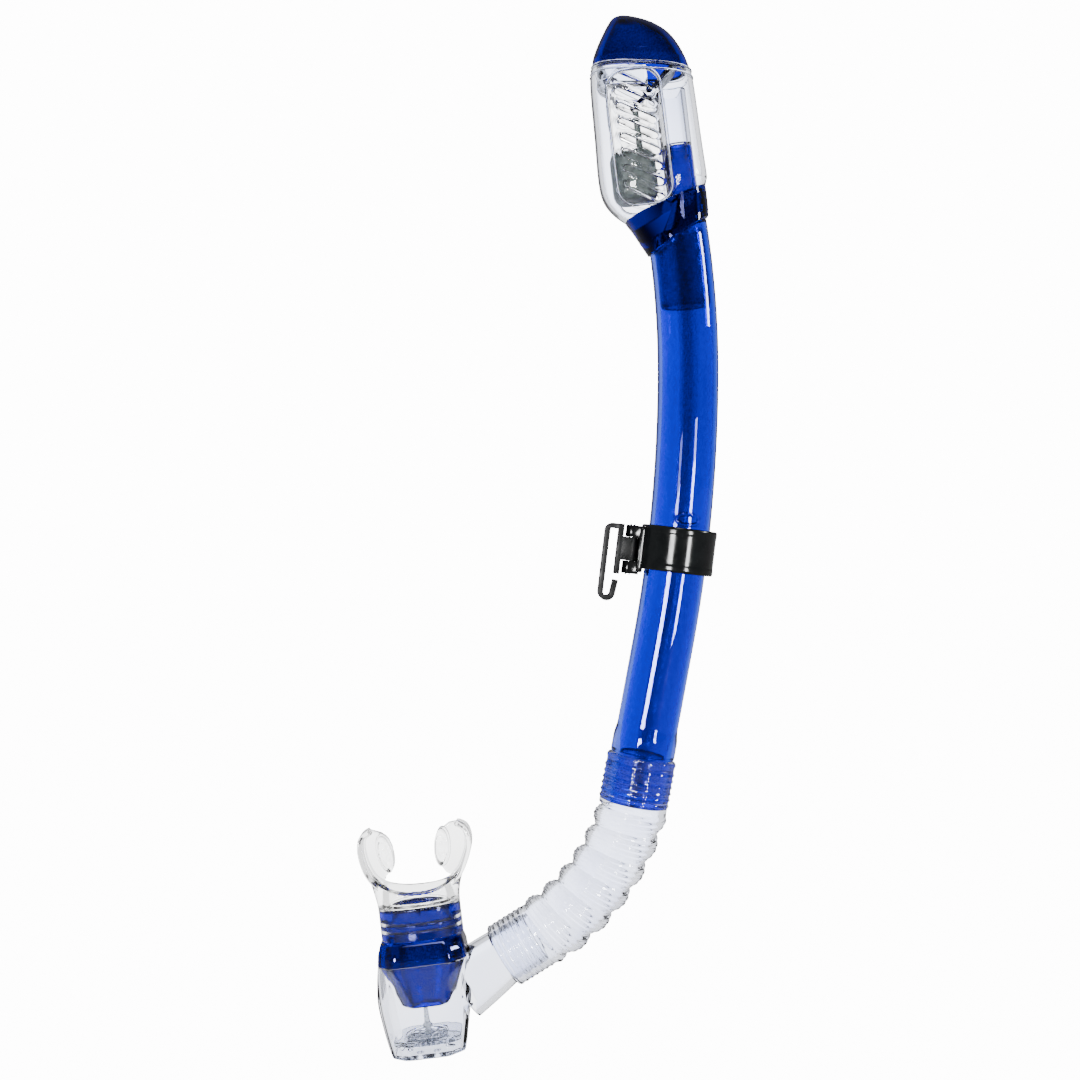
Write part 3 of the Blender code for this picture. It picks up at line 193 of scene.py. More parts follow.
CONNECTOR_NECK = (                 # z, left x, right x, half depth
    (13.6, -14.8, 14.8, 10.2), (13.2, -15.2, 15.2, 10.6), (7.9, -15.2, 15.2, 10.6),
    (7.6, -14.8, 14.8, 10.2), (7.1, -14.8, 14.8, 10.2), (6.8, -15.2, 15.2, 10.6),
    (4.7, -15.2, 15.2, 10.6), (4.4, -14.8, 14.8, 10.2), (3.9, -14.8, 14.8, 10.2),
    (3.6, -15.2, 15.2, 10.6), (0.0, -15.2, 15.2, 10.6),
)
CONNECTOR_COLLAR = (
    (0.0, -17.4, 16.4, 14.2), (-4.0, -18.7, 17.4, 16.0), (-8.5, -19.3, 17.7, 16.5),
)
CONNECTOR_STEP = ((-8.8, -18.9, 17.3, 16.1), (-9.1, -18.4, 16.8, 15.6))
CONNECTOR_PLUG = ((-26.4, -11.7, 9.8, 10.4), (-27.0, -11.1, 9.2, 9.8))
CONNECTOR_BORE = (
    (-27.0, -9.7, 7.7, 8.4), (-14.0, -12.6, 11.4, 9.6), (-4.0, -12.2, 12.2, 7.8),
    (13.6, -12.2, 12.2, 7.6),
)
NECK = (17.1, 12.6)
NECK_BORE = (15.17, 10.57)
NECK_MOUTH = (12.4, 7.8)
NECK_TOP = 30.0
NECK_STEP = 15.0
NECK_ROWS = (                      # z, left x, right x, half depth
    (0.3, -17.1, 17.1, 12.6), (9.0, -17.0, 17.1, 12.6), (15.0, -17.1, 17.2, 12.4),
    (20.0, -17.9, 18.1, 12.0), (25.0, -18.9, 20.0, 11.6), (30.0, -20.0, 22.4, 10.0),
)
LIP = (                            # the lip flange seen from the front, x and z
    (-16.6, 46.2), (-20.2, 43.8), (-21.2, 39.2), (-20.7, 34.0), (-19.3, 29.2), (-17.0, 25.4),
    (-13.2, 22.2), (-7.2, 20.0), (0.8, 19.2), (8.6, 19.7), (14.8, 21.9), (18.9, 25.4),
    (21.6, 29.9), (23.6, 34.8), (24.0, 39.4), (22.8, 43.2), (19.4, 45.6),
)
LIP_THICKNESS = 2.0
LIP_HALF_HEIGHTS = (8.0, 7.5)
LEFT_TAB = (
    (-16.6, 46.6), (-20.4, 43.6), (-21.2, 38.8), (-20.6, 33.6), (-19.0, 28.8), (-16.4, 25.2),
    (-13.4, 24.2), (-11.2, 27.4), (-9.4, 30.4), (-8.2, 34.2), (-8.0, 38.4), (-9.2, 42.0),
    (-12.0, 44.8),
)
RIGHT_TAB = (
    (19.2, 46.0), (16.4, 45.7), (14.0, 44.2), (11.2, 42.0), (9.7, 39.2), (9.1, 36.0),
    (9.3, 33.2), (10.6, 29.6), (12.8, 25.6), (15.2, 24.0), (18.4, 25.8), (21.2, 29.8),
    (23.3, 34.8), (23.7, 39.2), (22.6, 43.2),
)
TAB_THICKNESS = 3.8
BITE_LUGS = (((-11.2, 36.0), 8.0), ((12.3, 36.2), -6.0))   # centre and tilt in degrees
BITE_LUG_HALF = (3.0, 7.8, 4.9)
PURGE_CENTRE = -2.5

# Painted blues, which paint light and shade into the colour: painted shade, painted reflection, and
# painted light where walls are thin
# Painted shade and painted reflection across the barrel: dark at the middle, pale where the wall is
# seen edge on, with a painted fringe beside each highlight
TUBE_PAINTED_SHADING = (                     # from the tube's left to its right
    (0.0, (0.16, 0.22, 0.85)), (0.03, (0.04, 0.09, 0.68)), (0.12, (0.0, 0.01, 0.53)),
    (0.28, (0.0, 0.0, 0.43)), (0.36, (0.0, 0.02, 0.46)), (0.405, (0.0, 0.0, 0.26)),
    (0.50, (0.0, 0.0, 0.22)), (0.60, (0.0, 0.0, 0.27)), (0.66, (0.0, 0.0, 0.38)),
    (0.86, (0.0, 0.0, 0.41)), (0.93, (0.0, 0.01, 0.50)), (0.98, (0.04, 0.09, 0.66)),
    (1.0, (0.16, 0.21, 0.80)),
)
# Painted light: lighter blues on the thin chimney and inner spigot, for light through their thin
# walls
CHIMNEY_PAINTED_LIGHT = 0.33
SPIGOT_PAINTED_LIGHT = 0.52
# Painted shade: dark flanks on the connector's sides, and where that shade begins and ends
FLANK_PAINTED_SHADE = 0.03
FLANK_SHADE_EDGE = (11.6, 12.8)          # from the connector's middle
# Painted shade by height: a darker collar, and dark rings painted at the neck's ridges
CONNECTOR_PAINTED_SHADE = (                # by height: plug, collar, and the neck with its dark rings
    (-27.0, 0.27), (-12.0, 0.29), (-9.6, 0.25), (-8.8, 0.21), (-6.0, 0.18), (-0.2, 0.11),
    (0.1, 0.32), (3.5, 0.34), (3.8, 0.02), (4.4, 0.02), (4.7, 0.36), (6.7, 0.36), (7.0, 0.02),
    (7.7, 0.02), (8.0, 0.36), (12.0, 0.36), (12.4, 0.01), (13.6, 0.01),
)

# Light, as radiance
BACKDROP_LIGHT = 14.0               # what the camera sees behind the object
PANEL_LIGHT = 5.5                  # what clear plastic shows of the panels round it
PANEL_GAP = 1.0                    # and of the gaps between them
CEILING_LIGHT = 0.35               # what it shows of the ceiling, straight up
INNER_MIRROR = (0.15, 2.0)         # what is mirrored inside clear plastic: squarely, and at corners
OUTER_MIRROR = 0.25                # and what is mirrored on a surface
ROOM_LIGHT = 0.9
FLOOR_SEEN = 13.4
FLOOR_MIRRORED = 1.6
FLOOR_THROUGH = (3.4, 4.6)         # close to the object and far from it
STRIPS = (                         # name, angle, bottom, top, width, radiance
    ("strip_left", -23.0, -0.105, 0.07, 0.26, 190.0),
    ("strip_left_fade", -23.0, 0.07, 0.10, 0.22, 80.0),
    ("strip_left_end", -23.0, 0.10, 0.14, 0.16, 18.0),
    ("strip_right", 30.0, -0.19, 0.06, 0.17, 160.0),
    ("strip_right_fade", 30.0, 0.06, 0.12, 0.14, 50.0),
    ("strip_right_top", 85.0, 0.28, 0.50, 0.20, 110.0),
)
OVERHEAD = 46.0                    # this lamp draws the lines along the moulded rings

# Stage: places and sizes in metres
PANEL_EDGE = (0.72, 0.90)          # how squarely a panel faces the object where it fades
CEILING_EDGE = (0.12, 0.62)        # sine of the height where the panels fade upwards
CORNER_EDGE = (0.16, 0.42)         # |xy| of the direction where the corners begin and end
FLOOR_EDGE = (0.25, 0.7)
STRIP_DISTANCE = 1.15
OVERHEAD_ANGLE = math.radians(52.0)
OVERHEAD_BEAM = math.radians(28.0)         # narrow, so that it misses the cap
OVERHEAD_SIZE = (0.6, 0.22)
CAMERA_PLACE = (-0.02977, -0.7287, 0.00666)
CAMERA_LENS = (58.3, 36.0)         # focal length and sensor width, in millimetres


# --- shapes, drawn in millimetres ------------------------------------------------------------

def frame_at(point, lean_left):
    """The place of a frame whose z axis leans to the left by so many degrees."""
    move = Matrix.Translation((point[0] * MM, 0.0, point[1] * MM))
    return move @ Matrix.Rotation(math.radians(-lean_left), 4, "Y")


def smooth_rows(rows, steps):
    """Rows on a smooth curve through the given ones."""
    out = []
    for number in range(len(rows) - 1):
        picks = (max(number - 1, 0), number, number + 1, min(number + 2, len(rows) - 1))
        for step in range(steps):
            t = step / steps
            out.append(tuple(
                0.5 * (2 * b + (c - a) * t + (2 * a - 5 * b + 4 * c - d) * t ** 2
                       + (3 * b - a - 3 * c + d) * t ** 3)
                for a, b, c, d in zip(*(rows[pick] for pick in picks))))
    return out + [tuple(rows[-1])]


def oval(centre_x, centre_z, half_width, half_depth, squareness=2.0, tilt=0.0):
    ring = []
    for step in range(RING):
        angle = 2.0 * math.pi * step / RING
        across, deep = math.cos(angle), math.sin(angle)
        across = half_width * math.copysign(abs(across) ** (2.0 / squareness), across)
        deep = half_depth * math.copysign(abs(deep) ** (2.0 / squareness), deep)
        ring.append(Vector((centre_x + across * math.cos(tilt), deep,
                            centre_z + across * math.sin(tilt))))
    return ring


def slanted_oval(row, inset, squareness):
    left_x, left_z, right_x, right_z, half_depth = row
    tilt = math.atan2(right_z - left_z, right_x - left_x)
    half_width = math.hypot(right_x - left_x, right_z - left_z) / 2.0
    centre = ((left_x + right_x) / 2.0, (left_z + right_z) / 2.0)
    return oval(*centre, half_width - inset, half_depth - inset, squareness, tilt)


def lowered(row, drop):
    """A slanted row moved down."""
    return (row[0], row[1] - drop, row[2], row[3] - drop, row[4])


def level_oval(row, inset, squareness):
    height, left_x, right_x, half_depth = row
    return slanted_oval((left_x, height, right_x, height, half_depth), inset, squareness)


def facets(row, inset, corner=CORNER):
    """A level section with bevelled, slightly rounded corners."""
    height, left_x, right_x, half_depth = row
    wide = (right_x - left_x) / 2.0 - inset
    deep = half_depth - inset
    leg = corner[0] - 0.586 * inset
    centre = (left_x + right_x) / 2.0
    quarter = ((wide, deep - leg), (wide - leg, deep))
    corners = list(quarter) + [(-x, y) for x, y in quarter[::-1]]
    corners += [(-x, -y) for x, y in corners]
    ring = rounded_profile(corners, corner[1], RING // 8 - 1)
    return [Vector((centre + x, y, height)) for x, y in ring]


def skin(rings, looped=False):
    work = bmesh.new()
    loops = [[work.verts.new(point) for point in ring] for ring in rings]
    pairs = list(zip(loops, loops[1:]))
    if looped:
        pairs.append((loops[-1], loops[0]))
    else:
        work.faces.new(loops[0])
        work.faces.new(loops[-1])
    for first, second in pairs:
        for step in range(len(first)):
            after = (step + 1) % len(first)
            work.faces.new((first[step], first[after], second[after], second[step]))
    return work


def box(low, high, bevel=0.0):
    work = bmesh.new()
    bmesh.ops.create_cube(work, size=1.0)
    low, high = Vector(low), Vector(high)
    bmesh.ops.scale(work, vec=high - low, verts=work.verts)
    bmesh.ops.translate(work, vec=(low + high) / 2.0, verts=work.verts)
    if bevel:
        bmesh.ops.bevel(work, geom=work.edges[:], offset=bevel, segments=3, profile=0.5,
                        affect="EDGES")
    return work


def rods(radius, axis, low, high, centres, sides):
    work = bmesh.new()
    for centre in centres:
        middle = (low + high) / 2.0
        if axis == "Y":
            place = Matrix.Translation((centre[0], middle, centre[1]))
            place = place @ Matrix.Rotation(math.radians(90.0), 4, "X")
        else:
            place = Matrix.Translation((centre[0], centre[1], middle))
        bmesh.ops.create_cone(work, cap_ends=True, segments=sides, radius1=radius,
                              radius2=radius, depth=high - low, matrix=place)
    return work


def prism(outline, low, high, axis="Y"):
    along_y = axis == "Y"

    def ring(level):
        return [Vector((a, level, b) if along_y else (a, b, level)) for a, b in outline]

    return skin([ring(low), ring(high)])


def revolve(profile, centre=0.0):
    """A closed profile of (radius, z) points turned round z. A zero radius makes a pole."""
    work = bmesh.new()
    loops = []
    for radius, height in profile:
        if radius <= 0.0:
            loops.append([work.verts.new((centre, 0.0, height))])
        else:
            loops.append([work.verts.new((centre + radius * math.cos(2 * math.pi * n / RING),
                                          radius * math.sin(2 * math.pi * n / RING), height))
                          for n in range(RING)])
    pairs = list(zip(loops, loops[1:]))
    if profile[0][0] > 0.0:
        pairs.append((loops[-1], loops[0]))
    for first, second in pairs:
        for n in range(RING):
            after = (n + 1) % RING
            face = [first[n % len(first)], first[after % len(first)],
                    second[after % len(second)], second[n % len(second)]]
            work.faces.new(list(dict.fromkeys(face)))
    return work


def arc_points(centre, radius, start, end, steps):
    points = []
    for step in range(steps + 1):
        angle = math.radians(start + (end - start) * step / steps)
        points.append((centre[0] + radius * math.cos(angle), centre[1] + radius * math.sin(angle)))
    return points


def rounded_rectangle(left, right, bottom, top, radius):
    corners = ((right - radius, top - radius, 0.0), (left + radius, top - radius, 90.0),
               (left + radius, bottom + radius, 180.0), (right - radius, bottom + radius, 270.0))
    outline = []
    for x, z, start in corners:
        outline += arc_points((x, z), radius, start, start + 90.0, 12)
    return outline


def rounded_profile(corners, radius, steps=5):
    """A closed profile with its corners rounded. A corner given as (r, z, 0) stays sharp."""
    out = []
    for number, corner in enumerate(corners):
        here = Vector(corner[:2])
        size = corner[2] if len(corner) > 2 else radius
        before = Vector(corners[number - 1][:2]) - here
        after = Vector(corners[(number + 1) % len(corners)][:2]) - here
        size = min(size, before.length * 0.45, after.length * 0.45)
        if size <= 0.0:
            out.append(tuple(here))
            continue
        start = here + before.normalized() * size
        end = here + after.normalized() * size
        for step in range(steps + 1):
            t = step / steps
            out.append(tuple(start * (1 - t) ** 2 + here * 2 * t * (1 - t) + end * t ** 2))
    return out


def swept_ring(path, radius):
    """A closed round bead along a closed path of points."""
    rings = []
    count = len(path)
    for number, point in enumerate(path):
        along = (path[(number + 1) % count] - path[number - 1]).normalized()
        side = along.cross(Vector((0.0, 1.0, 0.0))).normalized()
        up = side.cross(along)
        rings.append([point + (side * math.cos(2 * math.pi * n / BEAD_SIDES)
                               + up * math.sin(2 * math.pi * n / BEAD_SIDES)) * radius
                      for n in range(BEAD_SIDES)])
    return skin(rings, looped=True)


class Centreline:
    """A path of arcs and straights in the XZ plane, walked downwards from its start."""

    def __init__(self, start, lean, pieces):
        self.start = start
        self.lean = math.radians(lean)
        self.pieces = [(length, math.radians(turn)) for length, turn in pieces]
        self.length = sum(length for length, turn in pieces)

    def at(self, distance):
        x, z = self.start
        lean = self.lean
        left = distance
        for number, (length, turn) in enumerate(self.pieces):
            last = number == len(self.pieces) - 1
            step = left if last else min(left, length)
            bend = turn * step / length
            if abs(bend) > 1e-9:
                radius = step / bend
                x += radius * (math.cos(lean + bend) - math.cos(lean))
                z -= radius * (math.sin(lean + bend) - math.sin(lean))
            else:
                x -= step * math.sin(lean)
                z -= step * math.cos(lean)
            lean += bend
            left -= step
            if left <= 0.0:
                break
        return x, z, lean

    def point(self, distance, radius, angle):
        """A point off the path, at an angle from the outer side."""
        x, z, lean = self.at(distance)
        across = radius * math.cos(angle)
        return Vector((x + across * math.cos(lean), radius * math.sin(angle),
                       z - across * math.sin(lean)))


def sweep(path, profile, shift=None, count=RING, looped=True):
    """Rings along a path, from (distance, radius or function of the angle) pairs."""
    rings = []
    for distance, radius in profile:
        ring = []
        for step in range(count):
            angle = 2.0 * math.pi * step / count
            size = radius(distance, angle) if callable(radius) else radius
            moved = distance + (shift(distance, size, angle) if shift else 0.0)
            ring.append(path.point(moved, size, angle))
        rings.append(ring)
    return skin(rings, looped)


def spread(start, end, step):
    count = max(1, round(abs(end - start) / step))
    return [start + (end - start) * number / count for number in range(count + 1)]


# --- frames and centrelines ------------------------------------------------------------------

def barrel_path():
    radius, length = UPPER_ARC
    upper = length + TOP_OVERRUN
    angle = upper / radius
    start = (UPRIGHT_POINT[0] - radius * (1.0 - math.cos(angle)),
             UPRIGHT_POINT[1] + radius * math.sin(angle))
    lower = LOWER_ARC[0] * math.radians(LOWER_ARC[1])
    lean = math.degrees(angle)
    return Centreline(start, -lean, ((upper, lean), (lower, LOWER_ARC[1]),
                                     (LOWER_STRAIGHT + SPIGOT_LENGTH, 0.0)))


def hose_path():
    x, z, lean = BARREL.at(SHOULDER + GAP)
    bend = HOSE_BEND[0] * math.radians(HOSE_BEND[1])
    return Centreline((x, z), math.degrees(lean), ((HOSE_CUFF[0], 0.0), HOSE_LEAD_IN,
                                                   (bend, HOSE_BEND[1]), (HOSE_END_CUFF[0], 0.0)))


def frame_on(path, distance):
    x, z, lean = path.at(distance)
    return frame_at((x, z), -math.degrees(lean))


WORLD = Matrix.Identity(4)
UPRIGHT = TOP_OVERRUN + UPPER_ARC[1]
SHOULDER = UPRIGHT + LOWER_ARC[0] * math.radians(LOWER_ARC[1]) + LOWER_STRAIGHT
BARREL = barrel_path()
HOSE = hose_path()
DRY_TOP = frame_at(DRY_TOP_POINT, DRY_TOP_LEAN)
KEEPER = frame_on(BARREL, UPRIGHT + KEEPER_DISTANCE)
CHAMBER = frame_at(CHAMBER_POINT, CHAMBER_LEAN)
STUB_PLACE = frame_on(HOSE, HOSE.length)


# --- objects ---------------------------------------------------------------------------------

def solid(name, work, place=WORLD):
    """A bmesh drawn in millimetres in some frame, as an object in the row frame."""
    bmesh.ops.recalc_face_normals(work, faces=work.faces)
    bmesh.ops.transform(work, matrix=place @ Matrix.Scale(MM, 4), verts=work.verts)
    mesh = bpy.data.meshes.new(name)
    work.to_mesh(mesh)
    work.free()
    item = bpy.data.objects.new(name, mesh)
    bpy.context.scene.collection.objects.link(item)
    return item


def settle(item):
    """Apply an object's modifiers to its mesh."""
    graph = bpy.context.evaluated_depsgraph_get()
    mesh = bpy.data.meshes.new_from_object(item.evaluated_get(graph))
    item.modifiers.clear()
    item.data = mesh


def combine(item, operation, *tools):
    for work, place in tools:
        tool = solid("tool", work, place)
        step = item.modifiers.new("combine", "BOOLEAN")
        step.operation = operation
        step.solver = "EXACT"
        step.object = tool
        settle(item)
        bpy.data.objects.remove(tool, do_unlink=True)
    return item


def soften(item, voxel, rounds):
    """Remesh a joined shape finely and relax it, so that its joins blend as in moulded rubber."""
    remesh = item.modifiers.new("remesh", "REMESH")
    remesh.mode = "VOXEL"
    remesh.voxel_size = voxel * MM
    relax = item.modifiers.new("relax", "SMOOTH")
    relax.factor = 0.5
    relax.iterations = rounds
    settle(item)
    return item


def round_edges(item, width, angle):
    edge = item.modifiers.new("edge", "BEVEL")
    edge.width = width * MM
    edge.segments = 2
    edge.limit_method = "ANGLE"
    edge.angle_limit = math.radians(angle)


def finish(item, material, smooth):
    """Shade a piece and give it its material."""
    item.data.shade_smooth()
    item.data.set_sharp_from_angle(angle=math.radians(smooth))
    item.data.materials.clear()
    item.data.materials.append(material)


def dress(item, body, material, nodes, bevel=0.0, smooth=38.0):
    """Round its edges, shade it, and put it in place of its CAD nodes."""
    if bevel:
        round_edges(item, bevel, 45.0)
        settle(item)
    finish(item, material, smooth)
    if nodes:
        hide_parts(*nodes)
    if body:
        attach(item, body)
    return item


# --- materials -------------------------------------------------------------------------------

def node_maker(tree):
    """A function that adds a node to a tree, with its inputs set or linked."""
    def node(kind, inputs=(), **settings):
        made = tree.nodes.new(kind)
        for key, value in settings.items():
            setattr(made, key, value)
        for key, value in dict(inputs).items():
            if isinstance(value, bpy.types.NodeSocket):
                tree.links.new(value, made.inputs[key])
            else:
                made.inputs[key].default_value = value
        return made

    return node


def shader(name):
    """A new material with its Principled shader, and functions that add nodes and link them."""
    material = bpy.data.materials.new(name)
    material.use_nodes = True
    tree = material.node_tree
    surface = tree.nodes["Principled BSDF"]

    def link(source, target):
        tree.links.new(source, surface.inputs[target])

    return material, surface, node_maker(tree), link


def noise(node, scale, detail, stretch=(1.0, 1.0, 1.0)):
    """Noise over the object's own coordinates, in features a metre divided by scale across."""
    where = node("ShaderNodeTexCoord").outputs["Object"]
    moved = node("ShaderNodeMapping", {"Vector": where, "Scale": stretch}).outputs["Vector"]
    made = node("ShaderNodeTexNoise", {"Vector": moved, "Scale": scale, "Detail": detail})
    return made.outputs["Fac"]


def ranged(node, value, low, high, source_low=0.35, source_high=0.65, kind="LINEAR"):
    made = node("ShaderNodeMapRange", {"Value": value, "From Min": source_low,
                                       "From Max": source_high, "To Min": low, "To Max": high},
                interpolation_type=kind)
    return made.outputs["Result"]


def worked(node, operation, *values, **settings):
    """The result of a Math node."""
    return node("ShaderNodeMath", dict(enumerate(values)), operation=operation,
                **settings).outputs[0]


def filled_ramp(node, value, stops):
    """A colour ramp through (position, colour) stops."""
    ramp = node("ShaderNodeValToRGB", {"Fac": value})
    elements = ramp.color_ramp.elements
    while len(elements) < len(stops):
        elements.new(0.5)
    for element, (position, shade) in zip(elements, stops):
        element.position = position
        element.color = (*shade, 1.0)
    return ramp.outputs["Color"]


def blended(node, value, first, second):
    return filled_ramp(node, value, ((0.35, first), (0.65, second)))


def bumped(node, height, strength, distance):
    return node("ShaderNodeBump", {"Height": height, "Strength": strength,
                                   "Distance": distance}).outputs["Normal"]


def clear_material(name, light, shade, transmission, roughness, ior, haze_scale, ripple,
                   mirror=(0.3, 0.3, 0.3), tint=None):
    """Moulded clear plastic or rubber: slow tint, uneven polish and faint flow ripples."""
    material, surface, node, link = shader(name)
    cloud = noise(node, haze_scale, 2.0)
    color = blended(node, cloud, light, shade)
    if tint:
        color = tint(node, color)
    link(color, "Base Color")
    polish = noise(node, haze_scale * 9.0, 4.0)
    link(ranged(node, polish, roughness[0], roughness[1]), "Roughness")
    flow = noise(node, haze_scale * 2.5, 2.0, (1.0, 1.0, 0.35))
    link(bumped(node, flow, ripple, 0.0006), "Normal")
    surface.inputs["Transmission Weight"].default_value = transmission
    surface.inputs["IOR"].default_value = ior
    surface.inputs["Specular Tint"].default_value = (*mirror, 1.0)
    return material


def multiplied(node, first, second):
    mix = node("ShaderNodeMix", {6: first, 7: second}, data_type="RGBA", blend_type="MULTIPLY")
    mix.inputs[0].default_value = 1.0
    return mix.outputs[2]


def painted(node, share, color, blue):
    """A colour, and a plain blue where the share is 1."""
    mix = node("ShaderNodeMix", {0: share, 6: color}, data_type="RGBA")
    mix.inputs[7].default_value = (0.0, 0.0, blue, 1.0)
    return mix.outputs[2]


def painted_tube_shading(node, color):
    """Painted shade and painted reflection: the tube is painted deepest in colour at its middle and
    pale at its left and right, as shade and reflections make its wall look from the front."""
    side = node("ShaderNodeAttribute", attribute_name="across").outputs["Fac"]
    paint = filled_ramp(node, ranged(node, side, 0.0, 1.0, -1.0, 1.0), TUBE_PAINTED_SHADING)
    return multiplied(node, paint, color)


def distance_along(node, direction):
    """How far a point of the object lies along a direction, in metres."""
    where = node("ShaderNodeTexCoord").outputs["Object"]
    reach = node("ShaderNodeVectorMath", {0: where, 1: direction}, operation="DOT_PRODUCT")
    return reach.outputs["Value"]


def beyond(node, start, end, reverse):
    """1 past a slanted line of the dry top's side view, and 0 before it."""
    start = DRY_TOP @ (Vector((start[0], 0.0, start[1])) * MM)
    end = DRY_TOP @ (Vector((end[0], 0.0, end[1])) * MM)
    along = (end - start).normalized()
    normal = Vector((-along.z, 0.0, along.x))
    level = start.dot(normal)
    edges = (level - 0.0005, level + 0.0005)
    low, high = edges[::-1] if reverse else edges
    return ranged(node, distance_along(node, normal), 0.0, 1.0, low, high)


def painted_thin_wall_light(node, color):
    """Painted light: the chimney and the inner spigot are thin, and are painted lighter than the
    collar's block, as light through their thin walls makes them look.
    """
    top, bottom = COLLAR_ROWS[0], COLLAR_ROWS[-1]
    above = beyond(node, top[0:2], top[2:4], False)
    below = beyond(node, bottom[0:2], bottom[2:4], True)
    return painted(node, below, painted(node, above, color, CHIMNEY_PAINTED_LIGHT), SPIGOT_PAINTED_LIGHT)


def along_chamber(node, axis):
    """Millimetres along one axis of the chamber's frame."""
    direction = (CHAMBER.to_3x3() @ Vector(axis)).normalized()
    start = CHAMBER.to_translation().dot(direction)
    return ranged(node, distance_along(node, direction), -100.0, 100.0, start - 0.1, start + 0.1)


def painted_connector_shade(node, color):
    """Painted shade: the connector is painted darkest on its collar, above all on the sides, and
    where it is ridged, as shade falls there in the view from the front.
    """
    across = along_chamber(node, (1.0, 0.0, 0.0))
    height = along_chamber(node, (0.0, 0.0, 1.0))
    low, high = CONNECTOR_PAINTED_SHADE[0][0], CONNECTOR_PAINTED_SHADE[-1][0]
    stops = [((level - low) / (high - low), (0.0, 0.0, blue)) for level, blue in CONNECTOR_PAINTED_SHADE]
    height_shaded = multiplied(node, filled_ramp(node, ranged(node, height, 0.0, 1.0, low, high), stops),
                         color)
    sides = ranged(node, worked(node, "ABSOLUTE", across), 0.0, 1.0, *FLANK_SHADE_EDGE)
    plug = ranged(node, height, 1.0, 0.0, -15.0, -11.0)
    neck = ranged(node, height, 0.0, 1.0, -0.4, 0.0)
    for band in (plug, neck):
        sides = worked(node, "SUBTRACT", sides, band, use_clamp=True)
    return painted(node, sides, height_shaded, FLANK_PAINTED_SHADE)


def black_plastic(name, roughness, shine):
    material, surface, node, link = shader(name)
    wear = noise(node, 160.0, 4.0)
    link(blended(node, wear, (0.010, 0.0112, 0.0125), (0.018, 0.0196, 0.021)), "Base Color")
    link(ranged(node, noise(node, 500.0, 2.0), *roughness), "Roughness")
    scuffs = noise(node, 700.0, 6.0, (1.0, 1.0, 0.08))
    link(bumped(node, scuffs, 0.04, 0.0001), "Normal")
    surface.inputs["Specular IOR Level"].default_value = shine
    return material


def float_foam():
    material, _, node, link = shader("float_grey")
    grain = noise(node, 420.0, 6.0)
    link(blended(node, grain, (0.055, 0.071, 0.069), (0.12, 0.146, 0.141)), "Base Color")
    link(ranged(node, grain, 0.35, 0.6), "Roughness")
    link(bumped(node, noise(node, 1500.0, 3.0), 0.25, 0.0002), "Normal")
    return material


def steel():
    material, surface, node, link = shader("pin_steel")
    lines = noise(node, 2600.0, 4.0, (1.0, 0.04, 1.0))
    link(blended(node, lines, (0.42, 0.42, 0.43), (0.66, 0.66, 0.66)), "Base Color")
    link(ranged(node, lines, 0.18, 0.36), "Roughness")
    link(bumped(node, lines, 0.08, 0.0001), "Normal")
    surface.inputs["Metallic"].default_value = 1.0
    return material


BLUE_MIRROR = (0.40, 0.45, 1.0)
DARK_MIRROR = (0.04, 0.045, 0.10)

# name, light and dark tint, transmission, roughness, refraction, scale of haze, ripple, mirror,
# and the function that paints light and shade on it
# The barrel's colour is painted shade and painted reflection across its width
TUBE_BLUE = clear_material("tube_blue", (1.0, 1.0, 1.0), (0.88, 0.88, 0.90), 0.98,
                           (0.01, 0.03), 1.45, 18.0, 0.03, BLUE_MIRROR, painted_tube_shading)
# The connector's colour carries painted shade on its collar, its sides and its ridges
DEEP_BLUE = clear_material("deep_blue", (1.0, 1.0, 1.0), (0.86, 0.86, 0.88), 0.98,
                           (0.01, 0.04), 1.45, 24.0, 0.04, BLUE_MIRROR, painted_connector_shade)
# The dry top's base: its chimney and inner spigot are painted lighter, as painted light through
# thin walls
BASE_BLUE = clear_material("base_blue", (0.0, 0.0, 0.17), (0.0, 0.0, 0.08), 0.98,
                           (0.01, 0.03), 1.45, 40.0, 0.015, DARK_MIRROR, painted_thin_wall_light)
CAP_BLUE = clear_material("cap_blue", (0.0, 0.0, 0.22), (0.0, 0.0, 0.14), 1.0,
                          (0.0, 0.02), 1.48, 30.0, 0.01, (0.0, 0.0, 0.01))
CLEAR = clear_material("clear_polycarbonate", (0.90, 0.92, 0.985), (0.84, 0.87, 0.965), 1.0,
                       (0.0, 0.02), 1.50, 26.0, 0.06, (0.2, 0.2, 0.2))
GRILLE_CLEAR = clear_material("grille_polycarbonate", (0.96, 0.965, 0.98), (0.92, 0.935, 0.96),
                              1.0, (0.0, 0.04), 1.58, 40.0, 0.12)
SILICONE = clear_material("hose_silicone", (0.87, 0.895, 0.98), (0.77, 0.80, 0.93), 1.0,
                          (0.01, 0.05), 1.41, 60.0, 0.06, (1.0, 1.0, 1.0))
MOUTH_SILICONE = clear_material("mouthpiece_silicone", (0.955, 0.96, 0.965), (0.90, 0.91, 0.92),
                                1.0, (0.04, 0.12), 1.41, 50.0, 0.2, (0.4, 0.4, 0.4))
SEAL_SILICONE = clear_material("seal_silicone", (0.80, 0.83, 0.85), (0.70, 0.73, 0.76), 0.55,
                               (0.25, 0.4), 1.41, 80.0, 0.2)
BLACK = black_plastic("black_gloss", (0.10, 0.16), 0.16)
BLACK_MATT = black_plastic("black_satin", (0.34, 0.5), 0.10)
FLOAT_GREY = float_foam()
STEEL = steel()


# --- barrel ----------------------------------------------------------------------------------

